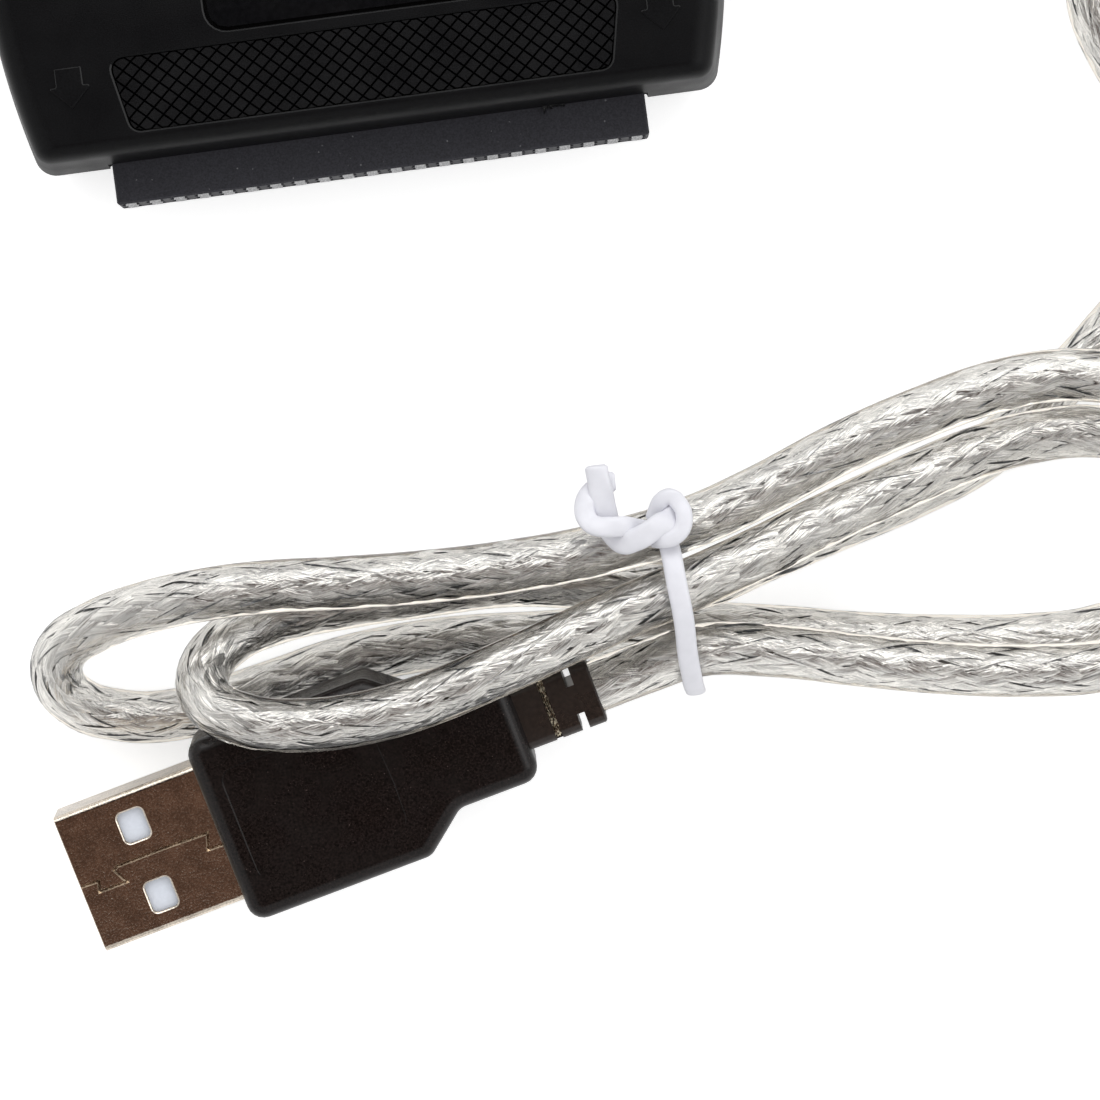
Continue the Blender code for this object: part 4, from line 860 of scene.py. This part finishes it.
def build_plug_shell():
    """The folded steel shell: rounded bends, rounded windows with turned edges, and the fold's seam."""
    width = SHELL_WIDTH / 2
    height = SHELL_HEIGHT / 2
    outer = [(0.0, SHELL_EDGE), (SHELL_EDGE, 0.0), (SHELL_LENGTH, 0.0)]
    inner = [(SHELL_LENGTH + 1.0, SHELL_SHEET), (-1.0, SHELL_SHEET)]
    shell = loft("plug_shell_folded", [side_ring(x, inset, width, height, SHELL_BEND) for x, inset in outer])
    tools = [loft("hollow", [side_ring(x, inset, width, height, SHELL_BEND) for x, inset in inner])]
    levels = [(inset, -height + rise) for inset, rise in WINDOW_BELOW]
    levels += [(inset, height + rise) for inset, rise in WINDOW_ABOVE]
    for window_y in WINDOWS_Y:
        tools.append(level_prism("window", rectangle(WINDOW_X, window_y), WINDOW_CORNER, levels))
    tools.append(seam_cutter(height))
    mesh = cut(shell, *tools)
    mesh.transform(plug_matrix())
    piece = add_piece("plug_shell_folded", mesh, PLUG_METAL)
    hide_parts("plug_shell")
    return piece


def edge_levels(half, edge, steps=7):
    """Insets and heights from the underside's flat to the top's, round both edges."""
    turns = [math.pi / 2 * step / steps for step in range(steps + 1)]
    lower = [(edge * (1 - math.sin(turn)), -half + edge * (1 - math.cos(turn))) for turn in turns]
    upper = [(edge * (1 - math.cos(turn)), half - edge * (1 - math.sin(turn))) for turn in turns]
    return lower + upper


def build_overmould():
    """The rounded grip with its shallow panel, the relief with its slots, and the foil in its groove."""
    half = MOULD_THICKNESS / 2
    grip = level_prism("plug_grip", MOULD_OUTLINE, MOULD_CORNER, edge_levels(half, MOULD_EDGE))
    floor = [(point.x, point.y, half - PANEL_DEPTH * (1 - (PANEL_OUTLINE[-1][1] - point.y) / PANEL_FADE))
             for point in rounded_outline(PANEL_OUTLINE, PANEL_CORNER)]
    brim = [(point.x, point.y) for point in rounded_outline(PANEL_OUTLINE, PANEL_CORNER, -0.15)]
    panel = loft("panel", [floor] + [[(x, y, z) for x, y in brim] for z in (half + 0.05, half + 1.0)])
    gap = loft("gap", [side_ring(x, -SHELL_GAP, SHELL_WIDTH / 2, SHELL_HEIGHT / 2, SHELL_BEND)
                       for x in SHELL_GAP_X])
    stations = ((RELIEF_START, 0.0), (RELIEF_END - RELIEF_EDGE, 0.0), (RELIEF_END, RELIEF_EDGE))
    relief = loft("plug_relief", [side_ring(x, inset, RELIEF_HALF_WIDTH, RELIEF_HALF_HEIGHT, RELIEF_CORNER)
                                  for x, inset in stations])
    beyond = 4.0
    slots = []
    for low, high in ((RELIEF_WEB, beyond), (-beyond, -RELIEF_WEB)):
        slots.append(slot("groove", GROOVE_X, (-beyond, beyond), (low, high)))
        slots.append(slot("notch", NOTCH_X, (low, high), (-beyond, beyond)))
    foil = wrinkled_strip("groove_foil", GROOVE_X, RELIEF_HALF_WIDTH - 0.1, RELIEF_WEB + 0.25)
    made = []
    for name, mesh, finish in (("plug_grip", cut(grip, panel, gap), PLUG_PLASTIC),
                               ("plug_relief", cut(relief, *slots), RELIEF_BROWN_AND_SHEEN),
                               ("groove_foil", foil, GOLDEN_FOIL)):
        mesh.transform(plug_matrix())
        made.append(add_piece(name, mesh, finish))
    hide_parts("plug_overmould")
    return made


def wrinkled_strip(name, x_range, half_width, height):
    """A crumpled sheet that lies in the relief's groove."""
    rows, columns = FOIL_GRID
    across = np.linspace(-half_width, half_width, rows)[:, None]
    along = np.linspace(*x_range, columns)[None, :]
    lift = FOIL_WRINKLE * smooth_noise(rows, columns, 5) + FOIL_WAVE * smooth_noise(rows, 1, 9)
    edge_drop = 0.5 * np.clip(np.abs(across) - half_width + FOIL_EDGE, 0.0, None) ** 2
    grid = np.stack(np.broadcast_arrays(along, across, height + lift - edge_drop), axis=-1) * MM
    return grid_mesh(name, grid)


# Grips


def clipped(polygon, outline):
    """The part of a polygon inside a convex anticlockwise outline."""
    for before, after in zip(outline, outline[1:] + outline[:1]):
        way = after - before
        kept = []
        for first, second in zip(polygon, polygon[1:] + polygon[:1]):
            side_first = way.cross(first - before)
            side_second = way.cross(second - before)
            if side_first >= 0:
                kept.append(first)
            if side_first * side_second < 0:
                kept.append(first.lerp(second, side_first / (side_first - side_second)))
        polygon = kept
        if len(polygon) < 3:
            return []
    return polygon


def grip_corners(y_sign):
    """The grip's trapezoid, wide towards the middle of the case, anticlockwise."""
    near = y_sign * (CASE_Y - GRIP_MARGIN - GRIP_HEIGHT)
    far = y_sign * (CASE_Y - GRIP_MARGIN)
    wide = GRIP_TOP_WIDTH / 2
    narrow = GRIP_BOTTOM_WIDTH / 2
    corners = [(-wide, near), (wide, near), (narrow, far), (-narrow, far)]
    return corners if y_sign > 0 else corners[::-1]


def build_knurl(name, y_sign):
    """A field of flat-topped diamonds between narrow crossing grooves, over the CAD grip's pyramids."""
    centre_y = y_sign * (CASE_Y - GRIP_MARGIN - GRIP_HEIGHT / 2)
    outline = rounded_outline(grip_corners(y_sign), GRIP_CORNER, KNURL_GAP)
    columns = math.ceil(GRIP_TOP_WIDTH / 2 / KNURL_PITCH_X) * 2 + 2
    rows = math.ceil(GRIP_HEIGHT / 2 / KNURL_PITCH_Y) * 2 + 2
    shape = bmesh.new()
    floor = CASE_TOP - KNURL_GROOVE_DEPTH
    for row in range(-rows, rows + 1):
        for column in range(-columns, columns + 1):
            if (row + column) % 2:
                continue
            middle = Vector((column * KNURL_PITCH_X / 2, centre_y + row * KNURL_PITCH_Y / 2))
            diamond = [middle + Vector(step) for step in (
                (KNURL_PITCH_X / 2, 0.0), (0.0, KNURL_PITCH_Y / 2), (-KNURL_PITCH_X / 2, 0.0),
                (0.0, -KNURL_PITCH_Y / 2))]
            cell = clipped(diamond, outline)
            area = sum(a.cross(b) for a, b in zip(cell, cell[1:] + cell[:1])) / 2
            if area > SMALLEST_CELL:
                shape.faces.new([shape.verts.new(Vector((point.x, point.y, floor)) * MM) for point in cell])
    bmesh.ops.remove_doubles(shape, verts=shape.verts, dist=0.002 * MM)
    cells = list(shape.faces)
    bmesh.ops.inset_individual(shape, faces=cells, thickness=KNURL_GROOVE_HALF * MM,
                               depth=(KNURL_GROOVE_DEPTH - KNURL_FLAT_DEPTH) * MM)
    mesh = bpy.data.meshes.new(name)
    shape.to_mesh(mesh)
    shape.free()
    return add_piece(name, mesh, GRIP_PLASTIC)


# Lid


def case_outline(inset_x, inset_y):
    """The case's plan: straight front and back, bowed sides and rounded corners."""
    bow = SIDE_BOW_RADIUS - inset_x
    corner = max(CORNER_RADIUS - inset_y, 0.3)
    corner_y = CASE_Y - inset_y - corner
    middle = CASE_X - inset_x - bow
    corner_x = middle + math.sqrt((bow - corner) ** 2 - corner_y ** 2)
    tangent = math.atan2(corner_y, corner_x - middle)
    quarter = []
    for step in range(BOW_STEPS + 1):
        turn = tangent * step / BOW_STEPS
        quarter.append((middle + bow * math.cos(turn), bow * math.sin(turn)))
    for step in range(1, CORNER_STEPS + 1):
        turn = tangent + (math.pi / 2 - tangent) * step / CORNER_STEPS
        quarter.append((corner_x + corner * math.cos(turn), corner_y + corner * math.sin(turn)))
    half = quarter + [(-x, y) for x, y in reversed(quarter)]
    return half + [(-x, -y) for x, y in half[1:-1]]


def case_ring(inset_x, inset_y, height):
    """The case's plan at a height."""
    return [(x, y, height) for x, y in case_outline(inset_x, inset_y)]


def recess_cutter(name, corners, corner, floor):
    """A recess in the lid's top with a narrow chamfer round its mouth."""
    return level_prism(name, corners, corner, [
        (0.0, floor), (0.0, CASE_TOP - RECESS_CHAMFER), (-RECESS_CHAMFER, CASE_TOP),
        (-RECESS_CHAMFER, CASE_TOP + 1),
    ])


def lid_openings():
    """What passes through the lid's walls: the sockets, the key, the SATA port and the sleeve."""
    tools = []
    for (half, low, high), y_sign in ((FRONT_OPENING, -1), (BACK_OPENING, 1), (KEY_OPENING, 1)):
        near, far = sorted((y_sign * (CASE_Y - 4), y_sign * (CASE_Y + 4)))
        tools.append(slot("socket_opening", (-half, half), (near, far), (low, high)))
    half, low, high = SATA_OPENING
    tools.append(slot("port_opening", (-CASE_X - 4, -CASE_X + 4), (-half, half), (low, high)))
    circle = [(SLEEVE_OPENING * math.cos(turn), PARTING + SLEEVE_OPENING * math.sin(turn))
              for turn in np.linspace(0.0, 2 * math.pi, 48, endpoint=False)]
    tools.append(loft("sleeve_opening", [[(x, y, z) for y, z in circle] for x in (CASE_X - 4, CASE_X + 4)]))
    return tools


def paint_edge_highlights(mesh, lowest):
    """Paints a highlight: the slants above a height that face the back or the sides get a lighter, glossier
    copy of the case's black.
    """
    mesh.materials.append(EDGE_HIGHLIGHT)
    for face in mesh.polygons:
        x, y, z = face.center / MM
        inside = abs(x) < HIGHLIGHT_AREA[0] and abs(y) < HIGHLIGHT_AREA[1]
        if inside and z > lowest and 0.3 < face.normal.z < 0.95 and face.normal.y > -0.25:
            face.material_index = 1


def build_lid():
    """The lid with rounded edges, chamfered recesses for the label and grips, and raised arrows."""
    rings = [
        case_ring(ROOF_INNER[0], ROOF_INNER[0], ROOF_INNER[1]),
        case_ring(WALL_INNER, WALL_INNER, RABBET[1]),
        case_ring(RABBET[0], RABBET[0], RABBET[1]),
        case_ring(RABBET[0], RABBET[0], LID_RIM),
        case_ring(0.0, 0.0, LID_RIM),
    ]
    for step in range(FILLET_STEPS + 1):
        turn = math.pi / 2 * step / FILLET_STEPS
        insets = [draft + radius * (1 - math.cos(turn)) for draft, radius in (SIDE_EDGE, FRONT_EDGE)]
        rings.append(case_ring(*insets, CASE_TOP - EDGE_DROP * (1 - math.sin(turn))))
    half_x, half_y = LABEL_HALF
    label = rectangle((-half_x, half_x), (-half_y, half_y))
    tools = lid_openings() + [recess_cutter("label_recess", label, LABEL_CORNER, LABEL_FLOOR)]
    for y_sign in (-1, 1):
        tools.append(recess_cutter("grip_recess", grip_corners(y_sign), GRIP_CORNER, RECESS_FLOOR))
    lid = add_piece("case_lid", cut(loft("case_lid", rings), *tools), CASE_PLASTIC)
    # Painted highlight on the slants that face the back and sides
    paint_edge_highlights(lid.data, CASE_TOP - RECESS_CHAMFER)
    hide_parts("top_shell")
    for side, y_sign in (("front", -1), ("back", 1)):
        for hand, x_sign in (("left", -1), ("right", 1)):
            corners = [(x_sign * ARROW_X + x, y_sign * y) for x, y in ARROW_OUTLINE]
            if y_sign < 0:
                corners.reverse()
            name = f"{side}_{hand}_arrow"
            arrow = level_prism(name, corners, 0.12, ARROW_LEVELS)
            paint_edge_highlights(add_piece(name, arrow, CASE_PLASTIC).data, CASE_TOP)


def build_lip_highlights():
    """Painted highlights: pale lips on the lower side of each of the 44-pin socket's funnels, where their
    chamfers catch the light.
    """
    lip = np.array([(-LIP_HALF, -LIP_REACH, -PIN_MOUTH), (LIP_HALF, -LIP_REACH, -PIN_MOUTH),
                    (PIN_BORE, PIN_FUNNEL, -PIN_BORE), (-PIN_BORE, PIN_FUNNEL, -PIN_BORE)]) + (0.0, 0.0, 0.03)
    points = []
    for column in range(PIN_COLUMNS):
        for row in (-0.5, 0.5):
            x = (column - (PIN_COLUMNS - 1) / 2) * PIN_PITCH
            points.append(lip + (x, -SOCKET_FACE, PARTING + row * PIN_PITCH))
    mesh = bpy.data.meshes.new("socket_lip_highlights")
    mesh.from_pydata(np.concatenate(points) * MM, [], np.arange(4 * len(points)).reshape(-1, 4).tolist())
    add_piece("socket_lip_highlights", mesh, LIP_HIGHLIGHT)


def build_burr():
    """A flake of flash left on the lid's front edge, above the socket."""
    rows, columns = BURR_GRID
    along = np.linspace(*BURR_X, columns)[None, :]
    drop = np.linspace(0.0, 1.0, rows)[:, None]
    reach = BURR_REACH[0] + BURR_REACH[1] * np.abs(smooth_noise(columns, 1, 3))[:, 0][None, :]
    y = BURR_BACK - reach * np.sin(math.pi * drop)
    z = BURR_TOP - BURR_DROP * drop
    grid = np.stack(np.broadcast_arrays(along, y, z), axis=-1) * MM
    add_piece("moulding_burr", grid_mesh("moulding_burr", grid), GRIP_PLASTIC)


# Studio


def build_camera():
    """The photograph's camera, with the focal length given in the photograph's pixels."""
    data = bpy.data.cameras.new("camera")
    data.sensor_width = SENSOR
    data.lens = CAMERA_FOCAL / PICTURE * SENSOR
    data.clip_start = 0.01
    camera = bpy.data.objects.new("camera", data)
    camera.location = CAMERA_PLACE
    camera.rotation_euler = (0.0, 0.0, CAMERA_TURN)
    scene_root.objects.link(camera)
    bpy.context.scene.camera = camera


def build_floor():
    """A white table top that looks white to the camera and in reflections, and keeps the shadow."""
    shape = bmesh.new()
    bmesh.ops.create_grid(shape, x_segments=1, y_segments=1, size=FLOOR_SIZE)
    mesh = bpy.data.meshes.new("floor")
    shape.to_mesh(mesh)
    shape.free()
    floor = bpy.data.objects.new("floor", mesh)
    scene_root.objects.link(floor)
    made = bpy.data.materials.new("white_table")
    made.use_nodes = True
    tree = made.node_tree
    tree.nodes.remove(tree.nodes["Principled BSDF"])
    path = add_node(tree, "ShaderNodeLightPath")
    reflected = combine(tree, "MULTIPLY", path.outputs["Is Glossy Ray"], FLOOR_REFLECTED)
    direct = combine(tree, "MAXIMUM", path.outputs["Is Camera Ray"], path.outputs["Is Transmission Ray"])
    seen = combine(tree, "MAXIMUM", direct, reflected)
    white = add_node(tree, "ShaderNodeBsdfDiffuse", {"Color": (0.8, 0.8, 0.8, 1.0)})
    glow = add_node(tree, "ShaderNodeEmission", {"Strength": combine(tree, "MULTIPLY", seen, FLOOR_GLOW)})
    both = add_node(tree, "ShaderNodeAddShader", {0: white.outputs["BSDF"], 1: glow.outputs["Emission"]})
    tree.links.new(both.outputs["Shader"], tree.nodes["Material Output"].inputs["Surface"])
    mesh.materials.append(made)


def build_world():
    """Even light on matt surfaces. Reflections show pale walls and a dark ceiling, brown to the south."""
    world = bpy.data.worlds.new("studio")
    bpy.context.scene.world = world
    world.use_nodes = True
    tree = world.node_tree
    background = tree.nodes["Background"]
    direction = add_node(tree, "ShaderNodeTexCoord").outputs["Generated"]

    def along(way):
        return add_node(tree, "ShaderNodeVectorMath", {0: direction, 1: way},
                        operation="DOT_PRODUCT").outputs["Value"]

    north = along(NORTH)
    height = along((0.0, 0.0, 1.0))
    squared = combine(tree, "MULTIPLY", height, height)
    level = combine(tree, "SQRT", combine(tree, "SUBTRACT", 1.0, squared), 0.0)
    bearing = combine(tree, "DIVIDE", north, combine(tree, "MAXIMUM", level, 0.05))
    ramp = tree.nodes.new("ShaderNodeValToRGB")
    tree.links.new(between(tree, bearing, 0.0, 1.0, -1.0, 1.0), ramp.inputs["Fac"])
    stops = ramp.color_ramp.elements
    stops.remove(stops[1])
    stops[0].position = WALL_SHADES[0][0]
    for position, shade in WALL_SHADES:
        stop = stops.new(position) if position > 0.0 else stops[0]
        stop.color = (shade, shade, shade, 1.0)
    wall = combine(tree, "ADD", combine(tree, "MULTIPLY", ramp.outputs["Color"], WALL_LIGHT),
                   combine(tree, "MULTIPLY", along(EAST), EAST_EXTRA))
    share = between(tree, along(OVERHEAD), 0.0, 1.0, *OVERHEAD_EDGE)
    overhead = blend_colour(tree, between(tree, north, 0.0, 1.0, -0.12, 0.12), OVERHEAD_BROWN, OVERHEAD_DARK)
    reflected = blend_colour(tree, share, wall, overhead)
    path = add_node(tree, "ShaderNodeLightPath")
    seen = blend_colour(tree, path.outputs["Is Diffuse Ray"], reflected, (EVEN_LIGHT, EVEN_LIGHT, EVEN_LIGHT))
    tree.links.new(blend_colour(tree, path.outputs["Is Camera Ray"], seen, (1.0, 1.0, 1.0)),
                   background.inputs["Color"])
    background.inputs["Strength"].default_value = 1.0


def build_lamp(name, place, size, power):
    """A soft box that shines on the part."""
    data = bpy.data.lights.new(name, "AREA")
    data.shape = "RECTANGLE"
    data.size, data.size_y = size
    data.energy = power
    lamp = bpy.data.objects.new(name, data)
    lamp.location = place
    lamp.rotation_euler = (Vector(SOFTBOX_TARGET) - Vector(place)).to_track_quat("-Z", "Y").to_euler()
    scene_root.objects.link(lamp)


def build_studio():
    build_camera()
    build_floor()
    build_world()
    build_lamp("top_softbox", (0.1, 0.75, 0.75), (1.2, 0.6), 4.0)
    build_lamp("right_softbox", (0.9, -0.15, 0.7), (0.5, 0.5), 1.0)
    bpy.context.scene.view_settings.view_transform = "Standard"


dress_cad_nodes()
build_cable(build_tie() + [build_plug_shell()] + build_overmould())
build_knurl("front_knurl", -1)
build_knurl("back_knurl", 1)
build_lid()
build_lip_highlights()
build_burr()
build_studio()
